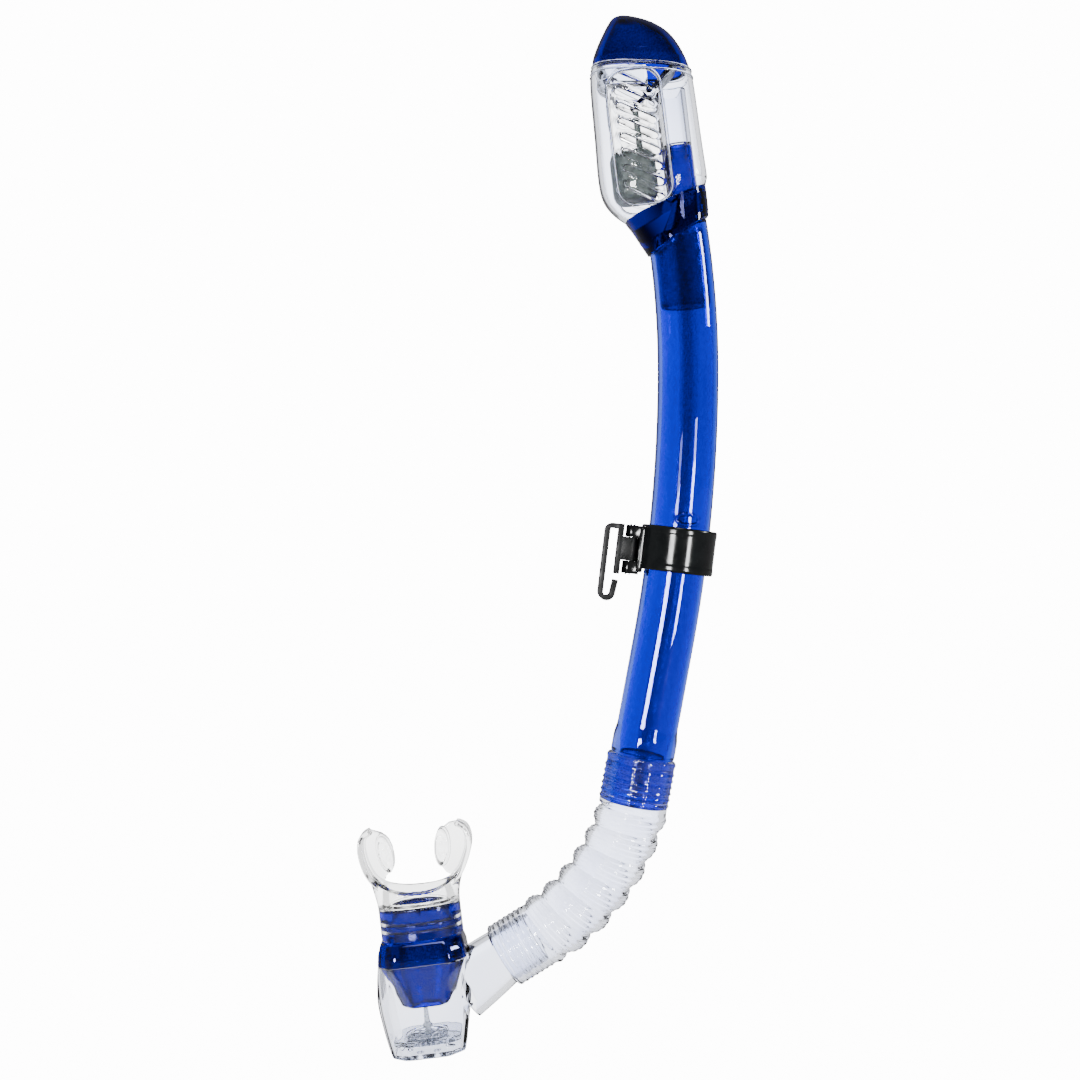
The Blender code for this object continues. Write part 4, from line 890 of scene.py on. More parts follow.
def top_shift(distance, radius, angle):
    """How far a ring near the top is slid so that the barrel ends on its slanted cut."""
    left_x, left_z, right_x, right_z, _ = COLLAR_ROWS[-1]
    along = Vector((right_x - left_x, 0.0, right_z - left_z)).normalized()
    normal = DRY_TOP.to_3x3() @ Vector((-along.z, 0.0, along.x))
    seam = DRY_TOP @ (Vector((left_x, 0.0, left_z)) * MM)
    limit = seam / MM - normal * GAP
    off = 0.0
    for _ in range(4):
        point = BARREL.point(TOP_OVERRUN + off, radius, angle)
        off += (point - limit).dot(normal)
    share = max(0.0, 1.0 - (distance - TOP_OVERRUN) / 26.0)
    return off * share if share < 1.0 else off


def spigot_radius(distance):
    """The lower spigot, with round ridges that hold the hose."""
    return SPIGOT_RADIUS + sum(0.5 * math.exp(-((distance - SHOULDER - middle) / 0.8) ** 4)
                               for middle in SPIGOT_RIDGES)


def mark_across(item, path, radius):
    """Store how far each point lies across a path, from -1 at its left to 1 at its right."""
    stations = [path.at(distance) for distance in spread(0.0, path.length, 1.0)]
    levels = [-z for x, z, lean in stations]
    values = []
    for vertex in item.data.vertices:
        point = vertex.co / MM
        x, z, lean = stations[min(bisect.bisect(levels, -point.z), len(stations) - 1)]
        values.append((point.x - x - (point.z - z) * math.tan(lean)) * math.cos(lean) / radius)
    mark = item.data.attributes.new("across", "FLOAT", "POINT")
    mark.data.foreach_set("value", values)


def build_tube():
    flare_end = SHOULDER - FLARE_BAND
    end = SHOULDER + SPIGOT_LENGTH
    outer = [(d, TUBE_RADIUS) for d in spread(TOP_OVERRUN + 1.2, flare_end - FLARE_LENGTH, 3.0)]
    for step in range(1, 9):
        share = step / 8.0
        swell = 3 * share ** 2 - 2 * share ** 3
        outer.append((flare_end - FLARE_LENGTH * (1.0 - share),
                      TUBE_RADIUS + (FLARE_RADIUS - TUBE_RADIUS) * swell))
    outer += [(SHOULDER - 1.6, FLARE_RADIUS), (SHOULDER - 0.8, FLARE_RADIUS - 0.05),
              (SHOULDER - 0.35, FLARE_RADIUS - 0.25), (SHOULDER - 0.1, FLARE_RADIUS - 0.6),
              (SHOULDER, FLARE_RADIUS - 1.0), (SHOULDER, SPIGOT_RADIUS + 0.4),
              (SHOULDER + 0.4, SPIGOT_RADIUS)]
    outer += [(d, spigot_radius(d)) for d in spread(SHOULDER + 0.8, end - 0.8, 0.3)]
    outer += [(end - 0.5, SPIGOT_RADIUS), (end - 0.15, SPIGOT_RADIUS - 0.15),
              (end, SPIGOT_RADIUS - 0.5), (end, SPIGOT_BORE + 0.4), (end - 0.4, SPIGOT_BORE)]
    inner = [(SHOULDER, SPIGOT_BORE)]
    inner += [(d, TUBE_BORE) for d in spread(flare_end, TOP_OVERRUN + 1.2, 3.0)]
    rim = [(TOP_OVERRUN + 0.4, TUBE_BORE + 0.05), (TOP_OVERRUN, TUBE_BORE + 0.4),
           (TOP_OVERRUN, TUBE_RADIUS - 0.4), (TOP_OVERRUN + 0.4, TUBE_RADIUS - 0.05)]
    item = solid("barrel_tube", sweep(BARREL, outer + inner + rim, top_shift))
    path = []
    for step in range(64):
        angle = 2.0 * math.pi * step / 64
        x = LUG_CENTRE[0] + LUG_HALF[0] * math.cos(angle)
        z = LUG_CENTRE[1] + LUG_HALF[1] * math.sin(angle)
        path.append(Vector((x, -math.sqrt(TUBE_RADIUS ** 2 - x * x) + 0.1, z)))
    combine(item, "UNION", (swept_ring(path, 0.9), KEEPER))
    mark_across(item, BARREL, TUBE_RADIUS)
    return dress(item, "barrel", TUBE_BLUE, ["main_tube"])


# --- dry top ---------------------------------------------------------------------------------

HOUSING_FINE = smooth_rows(HOUSING_ROWS, 8)


def housing_depth(x, z):
    """Half depth of the housing's outer face at a point of its side view."""
    low, high = 0.0, len(HOUSING_FINE) - 1.0
    for _ in range(24):
        middle = (low + high) / 2.0
        number = min(int(middle), len(HOUSING_FINE) - 2)
        share = middle - number
        row = [a * (1 - share) + b * share
               for a, b in zip(HOUSING_FINE[number], HOUSING_FINE[number + 1])]
        reach = (x - row[0]) / (row[2] - row[0])
        height = row[1] + reach * (row[3] - row[1])
        if height > z:
            low = middle
        else:
            high = middle
    across = min(0.999, abs(2.0 * reach - 1.0))
    return row[4] * (1.0 - across ** HOUSING_SQUARENESS) ** (1.0 / HOUSING_SQUARENESS)


def housing_wall(outer_inset, inner_inset):
    rings = [slanted_oval(row, outer_inset, HOUSING_SQUARENESS) for row in HOUSING_FINE]
    inner = [slanted_oval(row, inner_inset, HOUSING_SQUARENESS) for row in HOUSING_FINE]
    middle = (outer_inset + inner_inset) / 2.0
    lip = slanted_oval(lowered(HOUSING_FINE[0], -0.3), middle, HOUSING_SQUARENESS)
    foot = slanted_oval(lowered(HOUSING_FINE[-1], 0.1), middle, HOUSING_SQUARENESS)
    return skin(rings + [foot] + inner[::-1] + [lip], looped=True)


def grille_outline(shrink):
    left, right, bottom, top, corner = GRILLE
    return rounded_rectangle(left + shrink, right - shrink, bottom + shrink, top - shrink,
                             corner - shrink)


def build_housing():
    item = solid("dry_top_shell", housing_wall(0.0, HOUSING_WALL), DRY_TOP)
    combine(item, "DIFFERENCE", (prism(grille_outline(0.0), -30.0, 30.0), DRY_TOP))
    return dress(item, "barrel", CLEAR, ["dry_top_housing"])


def flared_slot(outline, side):
    """A cutter whose edges roll over on both faces, so that the bars between slots are round."""
    middle = HOUSING_WALL / 2.0
    rings = []
    for step in range(-8, 9):
        depth = middle * math.sin(math.radians(90.0 * step / 8.0))
        grow = SLOT_ROLL * (1.0 - math.sqrt(max(0.0, 1.0 - (depth / middle) ** 2)))
        reach = (depth * 1.5 if abs(step) == 8 else depth) - middle
        ring = []
        for (x, z), (out_x, out_z) in outline:
            px, pz = x + out_x * grow, z + out_z * grow
            ring.append(Vector((px, side * (housing_depth(px, pz) + reach), pz)))
        rings.append(ring)
    return skin(rings)


def slot_outline(centre):
    """Points of a slot with round ends that falls to the right, each with its outward way."""
    slope = math.radians(-SLOT_FALL)
    half, radius = SLOT_HALF
    outline = []
    for sign, start in ((1.0, -90.0), (-1.0, 90.0)):
        middle = (centre[0] + sign * half * math.cos(slope),
                  centre[1] + sign * half * math.sin(slope))
        for step in range(13):
            angle = math.radians(start + 15.0 * step - SLOT_FALL)
            way = (math.cos(angle), math.sin(angle))
            outline.append(((middle[0] + radius * way[0], middle[1] + radius * way[1]), way))
    return outline


def build_grille(name, node, side):
    item = solid(name, housing_wall(0.2, HOUSING_WALL - 0.2), DRY_TOP)
    near, far = sorted((side * 5.0, side * 30.0))
    combine(item, "INTERSECT", (prism(grille_outline(GAP), near, far), DRY_TOP))
    for number in range(SLOT_COUNT):
        centre = (FIRST_SLOT[0], FIRST_SLOT[1] - number * SLOT_PITCH)
        combine(item, "DIFFERENCE", (flared_slot(slot_outline(centre), side), DRY_TOP))
    return dress(item, "barrel", GRILLE_CLEAR, [node], smooth=60.0)


def build_panel_rims():
    """A raised bead round each louvred panel, and two round the housing under the cap."""
    for label, side in (("front", -1.0), ("back", 1.0)):
        path = [Vector((x, side * (housing_depth(x, z) + 0.05), z))
                for x, z in grille_outline(-0.5)]
        item = solid(label + "_panel_rim", swept_ring(path, 0.5), DRY_TOP)
        dress(item, "barrel", CLEAR, [])
    for label, number in (("upper", 1), ("lower", 5)):
        path = slanted_oval(HOUSING_FINE[number], 0.1, HOUSING_SQUARENESS)
        item = solid(label + "_housing_bead", swept_ring(path, 0.45), DRY_TOP)
        dress(item, "barrel", CLEAR, [])


def build_cap():
    fine = smooth_rows(CAP_ROWS, 7)
    outer = [slanted_oval(row, 0.0, CAP_SQUARENESS) for row in fine[::-1]]
    rim = CAP_ROWS[0]
    plug = HOUSING_WALL + GAP
    skirt = []
    for drop, inset in ((0.0, 0.5), (0.0, plug), (1.2, plug), (1.4, plug + 0.2),
                        (1.4, plug + 0.9), (0.6, plug + 1.0)):
        skirt.append(slanted_oval(lowered(rim, drop), inset, 2.5))
    side, top = CAP_WALL
    inner = [slanted_oval(lowered(row, top), side, CAP_SQUARENESS) for row in fine[7:36]]
    item = solid("dry_top_cap", skin(outer + skirt + inner), DRY_TOP)
    return dress(item, "barrel", CAP_BLUE, ["top_cap"])


def build_drip_ring():
    """A wedge-shaped ring inside the housing, under the cap and round the float's side."""
    rim = HOUSING_ROWS[0]
    inside = HOUSING_WALL + 0.15
    rings = []
    for drop, inset in ((1.8, inside + 0.2), (2.0, inside), (9.6, inside), (9.8, inside + 0.2),
                        (9.8, inside + 4.9), (9.5, inside + 5.1), (1.8, inside + 0.7)):
        row = (rim[0] - 0.1 * drop, rim[1] - drop, rim[2] + 0.05 * drop, rim[3] - drop,
               rim[4] + 0.12 * drop)
        rings.append(slanted_oval(row, inset, HOUSING_SQUARENESS))
    item = solid("drip_ring", skin(rings, looped=True), DRY_TOP)
    combine(item, "DIFFERENCE", (box((1.6, -30.0, 30.0), (40.0, 30.0, 80.0)), DRY_TOP))
    return dress(item, "barrel", CLEAR, [])


def air_oval(height, grow=0.0):
    return oval(AIR_CENTRE, height, AIR_HALF[0] + grow, AIR_HALF[1] + grow, AIR_SQUARENESS)


def build_base():
    """Collar, chimney and inner spigot."""
    rows = smooth_rows([(*row, squareness) for row, squareness in
                        zip(COLLAR_ROWS, COLLAR_SQUARENESS)], 6)
    rings = [slanted_oval(row[:5], 0.0, row[5]) for row in rows]
    item = solid("dry_top_collar", skin(rings), DRY_TOP)
    chimney = [air_oval(CHIMNEY_TOP, -0.5), air_oval(CHIMNEY_TOP - 0.15, -0.15),
               air_oval(CHIMNEY_TOP - 0.5), air_oval(0.0)]
    radius = TUBE_BORE - GAP
    top, end = TOP_OVERRUN - 1.0, TOP_OVERRUN + INNER_SPIGOT_LENGTH
    spigot = [(d, radius) for d in spread(top, end - 0.8, 3.0)] + [(end, radius - 0.6)]
    combine(item, "UNION", (skin(chimney), DRY_TOP), (sweep(BARREL, spigot, looped=False), WORLD))
    passage = [air_oval(CHIMNEY_TOP + 1.0, -AIR_WALL), air_oval(3.0, -AIR_WALL),
               oval(9.0, -13.0, INNER_SPIGOT_BORE, INNER_SPIGOT_BORE, 2.2, math.radians(10.0))]
    bore = [(d, INNER_SPIGOT_BORE) for d in spread(top - 1.0, end + 1.0, 3.0)]
    combine(item, "DIFFERENCE", (skin(passage), DRY_TOP),
            (sweep(BARREL, bore, looped=False), WORLD))
    return dress(item, "barrel", BASE_BLUE, ["dry_top_base"])


def build_riser():
    ledge = CHIMNEY_TOP + GAP
    insert = -AIR_WALL - GAP
    rings = [air_oval(RISER_TOP - 0.2), air_oval(ledge + 0.2), air_oval(ledge, -0.2),
             air_oval(ledge, insert), air_oval(ledge - 5.4, insert),
             air_oval(ledge - 5.6, insert - 0.2), air_oval(ledge - 5.6, insert - 0.9),
             air_oval(ledge, insert - 1.1), air_oval(ledge + 1.0, -AIR_WALL),
             air_oval(RISER_TOP - 0.2, -AIR_WALL), air_oval(RISER_TOP, 0.2 - AIR_WALL),
             air_oval(RISER_TOP, -0.2)]
    item = solid("air_riser_shell", skin(rings, looped=True), DRY_TOP)
    inner, thickness, eye = EAR
    left, right = FLAP_PIN[0] - eye, FLAP_PIN[0] + eye
    foot = AIR_CENTRE - AIR_HALF[0] + 1.0
    outline = [(left, 43.5), (left + 1.5, 42.0), (foot, 42.0), (foot, 46.6), (right, 46.6)]
    outline += arc_points(FLAP_PIN, eye, 0.0, 180.0, 20)
    for side in (-1.0, 1.0):
        near, far = sorted((side * inner, side * (inner + thickness)))
        combine(item, "UNION", (prism(outline, near, far), DRY_TOP))
    combine(item, "DIFFERENCE", (rods(1.2, "Y", -8.0, 8.0, [FLAP_PIN], 24), DRY_TOP))
    return dress(item, "barrel", CLEAR, ["air_riser"])


def build_float():
    rings = [oval(FLOAT_CENTRE, height, half_width, half_depth, AIR_SQUARENESS)
             for height, half_width, half_depth in FLOAT_ROWS]
    item = solid("float_body", skin(rings), DRY_TOP)
    socket = rods(STEM[1] + GAP, "Z", STEM[2], 30.0, [(STEM[0], 0.0)], 32)
    combine(item, "DIFFERENCE", (socket, DRY_TOP))
    return dress(item, "float", FLOAT_GREY, ["float"])


# --- keeper ----------------------------------------------------------------------------------

def drill_for_pin(item):
    hole = rods(PIN_RADIUS + GAP, "Z", -20.0, 20.0, [(PIN_X, 0.0)], 32)
    combine(item, "DIFFERENCE", (hole, KEEPER))


def build_band():
    height, wall, lip = BAND
    inner = TUBE_RADIUS + GAP
    outer = inner + wall
    half = height / 2.0
    corners = ((outer - 0.2, half), (outer + lip, half - 0.8), (outer + lip, half - 2.4),
               (outer, half - 3.2), (outer, 3.2 - half), (outer + lip, 2.4 - half),
               (outer + lip, 0.8 - half), (outer - 0.2, -half), (inner, -half), (inner, half))
    item = solid("keeper_collar", revolve(rounded_profile(corners, 0.5)), KEEPER)
    low, clip_low, clip_high, high = KNUCKLE_LEVELS
    root = box((ROOT_SIDE, -5.0, low + 1.0), (-inner - 0.8, 5.0, high - 0.6), 0.6)
    combine(item, "UNION", (root, KEEPER))
    backing = box((PIN_X + 0.8, KNUCKLE_RADIUS + 0.3, low + 0.5),
                  (ROOT_SIDE + 1.0, KNUCKLE_RADIUS + 2.0, high - 0.5), 0.3)
    combine(item, "UNION", (backing, KEEPER))
    outline = arc_points((PIN_X, 0.0), KNUCKLE_RADIUS, 90.0, 270.0, 20)
    outline += [(ROOT_SIDE + 1.2, -KNUCKLE_RADIUS), (ROOT_SIDE + 1.2, KNUCKLE_RADIUS)]
    for bottom, top in ((low, clip_low), (clip_high, high)):
        combine(item, "UNION", (prism(outline, bottom, top, "Z"), KEEPER))
    drill_for_pin(item)
    return dress(item, "keeper", BLACK, ["keeper_band"], 0.25)


def hook_line():
    thickness, _, top, turn_z, turn_radius = HOOK
    arm_x = PLATE[0] - STRAP_GAP - thickness / 2.0
    corner = 1.9
    points = [(PLATE[0] + 1.0, top), (arm_x + corner, top)]
    points += arc_points((arm_x + corner, top - corner), corner, 90.0, 180.0, 10)[1:]
    points += arc_points((arm_x + turn_radius, turn_z), turn_radius, 180.0, 345.0, 24)
    points.append(HOOK_TIP)
    return [Vector(point) for point in points]


def build_clip():
    face, thick, half_depth, bottom, top = PLATE
    item = solid("keeper_hook", box((face, -half_depth, bottom), (face + thick, half_depth, top)),
                 KEEPER)
    outline = arc_points((PIN_X, 0.0), KNUCKLE_RADIUS, -90.0, 90.0, 20)
    outline += [(face + 0.5, KNUCKLE_RADIUS), (face + 0.5, -KNUCKLE_RADIUS)]
    knuckle = prism(outline, KNUCKLE_LEVELS[1] + 0.1, KNUCKLE_LEVELS[2] - 0.1, "Z")
    line = hook_line()
    half = HOOK[0] / 2.0
    left, right = [], []
    for number, point in enumerate(line):
        along = (line[min(number + 1, len(line) - 1)] - line[max(number - 1, 0)]).normalized()
        side = Vector((-along.y, along.x)) * half
        left.append(point + side)
        right.append(point - side)
    hook = prism([tuple(point) for point in left + right[::-1]], -HOOK[1], HOOK[1])
    combine(item, "UNION", (knuckle, KEEPER), (hook, KEEPER))
    drill_for_pin(item)
    return dress(item, "keeper_clip", BLACK_MATT, ["keeper_clip"], 0.3)


# --- hose ------------------------------------------------------------------------------------

def corrugation(distance, angle):
    """0 in the helical groove and 1 on the crest, with round crests and tight grooves."""
    turns = ((distance - HOSE_CUFF[0] - HOSE_FIRST_CREST) / HOSE_PITCH
             + angle / (2.0 * math.pi))
    wave = math.cos(math.pi * turns) ** 2
    soft, power = GROOVE_SHAPE
    return (wave + soft) ** power / (1.0 + soft) ** power


def fine_rings(distance, angle):
    """Narrow moulded ridges that follow the helix."""
    turns = (distance - HOSE_CUFF[0]) / HOSE_PITCH + angle / (2.0 * math.pi)
    return 0.17 * math.cos(2.0 * math.pi * HOSE_FINE_RINGS * turns)


def cuff_share(distance):
    """0 inside the cuffs and 1 in the corrugated stretch."""
    inside = min(distance - HOSE_CUFF[0], HOSE.length - HOSE_END_CUFF[0] - distance)
    share = min(max(inside / 3.0, 0.0), 1.0)
    return 3 * share ** 2 - 2 * share ** 3


def cuff_radius(distance):
    """Outer radius of the two cuffs, with a rolled lip and shallow moulded rings."""
    if distance < HOSE.length / 2.0:
        lip = 0.35 * math.exp(-((distance - 1.3) / 0.7) ** 2)
        rings = sum(0.5 * math.exp(-((distance - spot) / 0.5) ** 2) for spot in UPPER_CUFF_RINGS)
        return HOSE_CUFF[1] - 0.15 + lip + rings
    before = HOSE.length - distance
    lip = 0.3 * math.exp(-((before - 0.9) / 0.6) ** 2)
    rings = sum(0.36 * math.exp(-((before - spot) / 0.55) ** 2) for spot in LOWER_CUFF_RINGS)
    return HOSE_END_CUFF[1] - 0.15 + lip + rings


def hose_outer(distance, angle):
    share = cuff_share(distance)
    crest = HOSE_VALLEY + (HOSE_CREST - HOSE_VALLEY) * corrugation(distance, angle)
    return cuff_radius(distance) * (1.0 - share) + (crest + fine_rings(distance, angle)) * share


def hose_inner(distance, angle):
    """It is stretched over the tube's spigot above, and lies on the stub's ridges below."""
    share = cuff_share(distance)
    if distance < HOSE.length / 2.0:
        cuff = spigot_radius(SHOULDER + GAP + distance) - PRESS
    else:
        cuff = STUB_SPIGOT[0] + STUB_RIDGE
    groove = HOSE_VALLEY - HOSE_WALL + 1.3 * corrugation(distance, angle)
    return cuff * (1.0 - share) + groove * share


def build_hose():
    stations = spread(0.6, HOSE.length - 0.6, 0.42)
    start, end = 0.0, HOSE.length
    profile = [(start, HOSE_CUFF[1] - 0.45)]
    profile += [(d, hose_outer) for d in stations]
    profile += [(end, HOSE_END_CUFF[1] - 0.45), (end, STUB_SPIGOT[0] + 1.2)]
    profile += [(d, hose_inner) for d in stations[::-1]]
    profile += [(start, SPIGOT_RADIUS + 1.3)]
    item = solid("elbow_hose", sweep(HOSE, profile, count=120))
    dress(item, None, SILICONE, ["flex_hose"], smooth=60.0)
    first = HOSE.point(HOSE_CUFF[0], 0.0, 0.0) * MM
    last = HOSE.point(HOSE.length - HOSE_END_CUFF[0], 0.0, 0.0) * MM
    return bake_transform(item)


# --- purge chamber and mouthpiece ------------------------------------------------------------

def stub_section(depth, share, size):
    """A round section of the stub, whose root widens and drops by its share."""
    root, drop = STUB_ROOT
    size += (root - STUB[0]) * share
    return oval(drop * share, -depth, size, size)


def build_chamber():
    fine = smooth_rows(CHAMBER_ROWS, 6)
    bottom = fine[-1]
    rings = [facets(fine[0], 0.3)] + [facets(row, 0.0) for row in fine[:-1]]
    rings += [facets((bottom[0] + 0.5, *bottom[1:]), 0.0),
              facets((bottom[0] + 0.15, *bottom[1:]), 0.2), facets(bottom, 0.6)]
    item = solid("chamber_shell", skin(rings), CHAMBER)
    radius, reach, bore = STUB
    spigot, length = STUB_SPIGOT
    profile = [(0.0, length), (spigot - 0.4, length), (spigot, length - 0.4)]
    crest = spigot + STUB_RIDGE
    for middle in STUB_RIDGES:
        profile += [(spigot, middle + 1.2), (spigot + 0.3, middle + 0.9), (crest, middle + 0.5),
                    (crest, middle - 0.5), (spigot + 0.3, middle - 0.9), (spigot, middle - 1.2)]
    profile += [(spigot, -GAP), (spigot, -2.0), (0.0, -2.0)]
    taper = [(6.0, 0.3), (12.0, 0.6), (reach, 1.0)]
    cone = [stub_section(GAP, 0.0, radius - 0.4), stub_section(GAP + 0.4, 0.0, radius)]
    cone += [stub_section(depth, share, radius) for depth, share in taper]
    combine(item, "UNION", (revolve(profile), STUB_PLACE), (skin(cone), STUB_PLACE))
    cavity = [facets((-7.8, -19.5, 17.9, 16.7), 0.0), facets((-9.0, -18.9, 17.3, 16.1), 0.0)]
    cavity += [facets(row, min(CHAMBER_WALL, 0.4 + 0.12 * (-9.0 - row[0])))
               for row in fine if row[0] < -10.0]
    cavity.append(facets((bottom[0] - 1.0, *bottom[1:]), CHAMBER_WALL))
    combine(item, "DIFFERENCE", (skin(cavity), CHAMBER))
    collar = CONNECTOR_COLLAR
    room = [(10.0, *collar[0][1:]), *collar, (collar[-1][0] - GAP, *collar[-1][1:])]
    inside = [stub_section(depth, share, bore) for depth, share in
              ((-length - 1.0, 0.0), (GAP, 0.0), *taper, (reach + 6.0, 1.0))]
    combine(item, "DIFFERENCE",
            (skin([facets(row, -GAP) for row in room]), CHAMBER), (skin(inside), STUB_PLACE))
    return dress(item, "chamber", CLEAR, ["purge_chamber"], smooth=28.0)


def build_connector():
    rings = [level_oval(row, 0.0, NECK_SQUARENESS) for row in CONNECTOR_NECK]
    rings += [facets(row, 0.0) for row in CONNECTOR_COLLAR + CONNECTOR_STEP]
    rings += [facets(row, 0.0, PLUG_CORNER) for row in CONNECTOR_PLUG]
    rings += [level_oval(row, 0.0, BORE_SQUARENESS) for row in CONNECTOR_BORE]
    item = solid("blue_connector", skin(rings, looped=True), CHAMBER)
    return dress(item, "chamber", DEEP_BLUE, ["mouthpiece_connector"], 0.25, 28.0)


def chamber_plate(name, low, high, holes, circle, count, ridges):
    """An eight-sided plate across the chamber, with round ridges on it and holes through it."""
    row = [sum(values) / 2.0 for values in zip(CHAMBER_ROWS[4], CHAMBER_ROWS[5])]
    shape = [facets((level, *row[1:]), CHAMBER_WALL + GAP + inset)
             for level, inset in ((low, 0.3), (low + 0.3, 0.0), (high - 0.3, 0.0), (high, 0.3))]
    item = solid(name, skin(shape), CHAMBER)
    for radius in ridges:
        bead = [(radius - 0.6, high - 0.4), (radius - 0.5, high + 0.1), (radius - 0.2, high + 0.5),
                (radius + 0.2, high + 0.5), (radius + 0.5, high + 0.1), (radius + 0.6, high - 0.4)]
        combine(item, "UNION", (revolve(bead, centre=PURGE_CENTRE), CHAMBER))
    spots = [(PURGE_CENTRE + circle * math.cos(2 * math.pi * (n + 0.5) / count),
              circle * math.sin(2 * math.pi * (n + 0.5) / count)) for n in range(count)]
    combine(item, "DIFFERENCE", (rods(holes, "Z", low - 2.0, high + 2.0, spots, 24), CHAMBER))
    return item


def build_purge_plates():
    seat = chamber_plate("valve_seat", -42.0, -40.0, 1.3, 5.6, 8, (3.6, 7.4, 9.6))
    tail = rods(1.5, "Z", -45.0, -38.0, [(PURGE_CENTRE, 0.0)], 32)
    combine(seat, "DIFFERENCE", (tail, CHAMBER))
    dress(seat, "chamber", CLEAR, ["purge_seat"])
    cover = chamber_plate("drain_cover", -47.0, -45.2, 1.6, 9.2, 8, ())
    dress(cover, "chamber", CLEAR, ["purge_cover"])


def lip_flange():
    """The flange that goes behind the lips: a curved sheet, taller at its middle."""
    line = smooth_rows(LIP, 6)
    levels = 14
    tall, short = LIP_HALF_HEIGHTS
    work = bmesh.new()
    sides = []
    for offset in (-LIP_THICKNESS / 2.0, LIP_THICKNESS / 2.0):
        rows = []
        for step, (x, z) in enumerate(line):
            share = abs(2.0 * step / (len(line) - 1) - 1.0)
            ahead, behind = line[min(step + 1, len(line) - 1)], line[max(step - 1, 0)]
            along = Vector((ahead[0] - behind[0], 0.0, ahead[1] - behind[1])).normalized()
            spot = Vector((x, 0.0, z)) + Vector((-along.z, 0.0, along.x)) * offset
            height = (tall - (tall - short) * share ** 1.5) * (1.0 - 0.5 * share ** 14)
            rows.append([work.verts.new(spot + Vector((0.0, height * (2.0 * n / levels - 1.0),
                                                       0.0)))
                         for n in range(levels + 1)])
        sides.append(rows)
    for rows in sides:
        for first, second in zip(rows, rows[1:]):
            for n in range(levels):
                work.faces.new((first[n], first[n + 1], second[n + 1], second[n]))
    low, high = sides
    for n in range(levels):
        work.faces.new((low[0][n], low[0][n + 1], high[0][n + 1], high[0][n]))
        work.faces.new((low[-1][n], low[-1][n + 1], high[-1][n + 1], high[-1][n]))
    for step in range(len(line) - 1):
        work.faces.new((low[step][0], low[step + 1][0], high[step + 1][0], high[step][0]))
        work.faces.new((low[step][-1], low[step + 1][-1], high[step + 1][-1], high[step][-1]))
    return work


def turned_ellipse(centre, half, tilt):
    turn = math.radians(tilt)
    points = []
    for step in range(RING // 2):
        angle = 4.0 * math.pi * step / RING
        x, z = half[0] * math.cos(angle), half[1] * math.sin(angle)
        points.append((centre[0] + x * math.cos(turn) - z * math.sin(turn),
                       centre[1] + x * math.sin(turn) + z * math.cos(turn)))
    return points


def build_mouthpiece():
    def neck(half, height):
        return oval(0.0, height, *half, NECK_SQUARENESS)

    outer = [level_oval(row, 0.0, NECK_SQUARENESS) for row in smooth_rows(NECK_ROWS, 4)]
    rings = outer[::-1] + [neck((NECK[0] - 0.4, NECK[1] - 0.4), GAP - 0.1)]
    rings += [neck(NECK_BORE, GAP - 0.1), neck(NECK_BORE, NECK_STEP - 1.0),
              neck(NECK_MOUTH, NECK_STEP), neck(NECK_MOUTH, NECK_TOP)]
    item = solid("mouthpiece_rubber", skin(rings, looped=True), CHAMBER)
    void = [(x * 0.97 + 0.04, z + 0.6) for x, z in smooth_rows(LIP, 6)]
    void = [(-30.0, 60.0)] + void[12:-12] + [(30.0, 60.0)]
    combine(item, "DIFFERENCE", (prism(void, -30.0, 30.0), CHAMBER))
    combine(item, "UNION", (lip_flange(), CHAMBER))
    half = TAB_THICKNESS / 2.0
    for outline in (LEFT_TAB, RIGHT_TAB):
        combine(item, "UNION", (prism(outline, -half, half), CHAMBER))
    for centre, tilt in BITE_LUGS:
        shape = prism(turned_ellipse(centre, BITE_LUG_HALF[:2], tilt), -BITE_LUG_HALF[2],
                      BITE_LUG_HALF[2])
        combine(item, "UNION", (shape, CHAMBER))
        for size in (0.72, 0.38):
            ridge = turned_ellipse(centre, (BITE_LUG_HALF[0] * size, BITE_LUG_HALF[1] * size), tilt)
            for side in (-1.0, 1.0):
                path = [Vector((x, side * BITE_LUG_HALF[2], z)) for x, z in ridge]
                combine(item, "DIFFERENCE", (swept_ring(path, 0.42), CHAMBER))
    mouth = [neck(NECK_MOUTH, NECK_STEP + 0.5), neck(NECK_MOUTH, 27.0)]
    combine(item, "DIFFERENCE", (skin(mouth), CHAMBER))
    soften(item, 0.36, 4)
    return dress(item, "chamber", MOUTH_SILICONE, ["mouthpiece"],
                 smooth=80.0)


# --- small CAD nodes that stay, with finished materials and softened edges -------------------

def finish_small_nodes():
    kept = {
        "flap_lever": (DEEP_BLUE, 0.25), "flap_seal": (SEAL_SILICONE, 0.2),
        "flap_hinge_pin": (STEEL, 0.15), "float_stem": (FLOAT_GREY, 0.2),
        "keeper_pin": (STEEL, 0.2), "purge_valve": (SEAL_SILICONE, 0.0),
    }
    for name, (material, bevel) in kept.items():
        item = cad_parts[name]
        finish(item, material, 38.0)
        if bevel:
            round_edges(item, bevel, 50.0)


# --- stage -----------------------------------------------------------------------------------

def ray_switch(node, ray, otherwise, chosen):
    """One shader for rays of a kind, and another for the rest."""
    path = node("ShaderNodeLightPath").outputs[ray]
    return node("ShaderNodeMixShader", {"Fac": path, 1: otherwise, 2: chosen}).outputs[0]


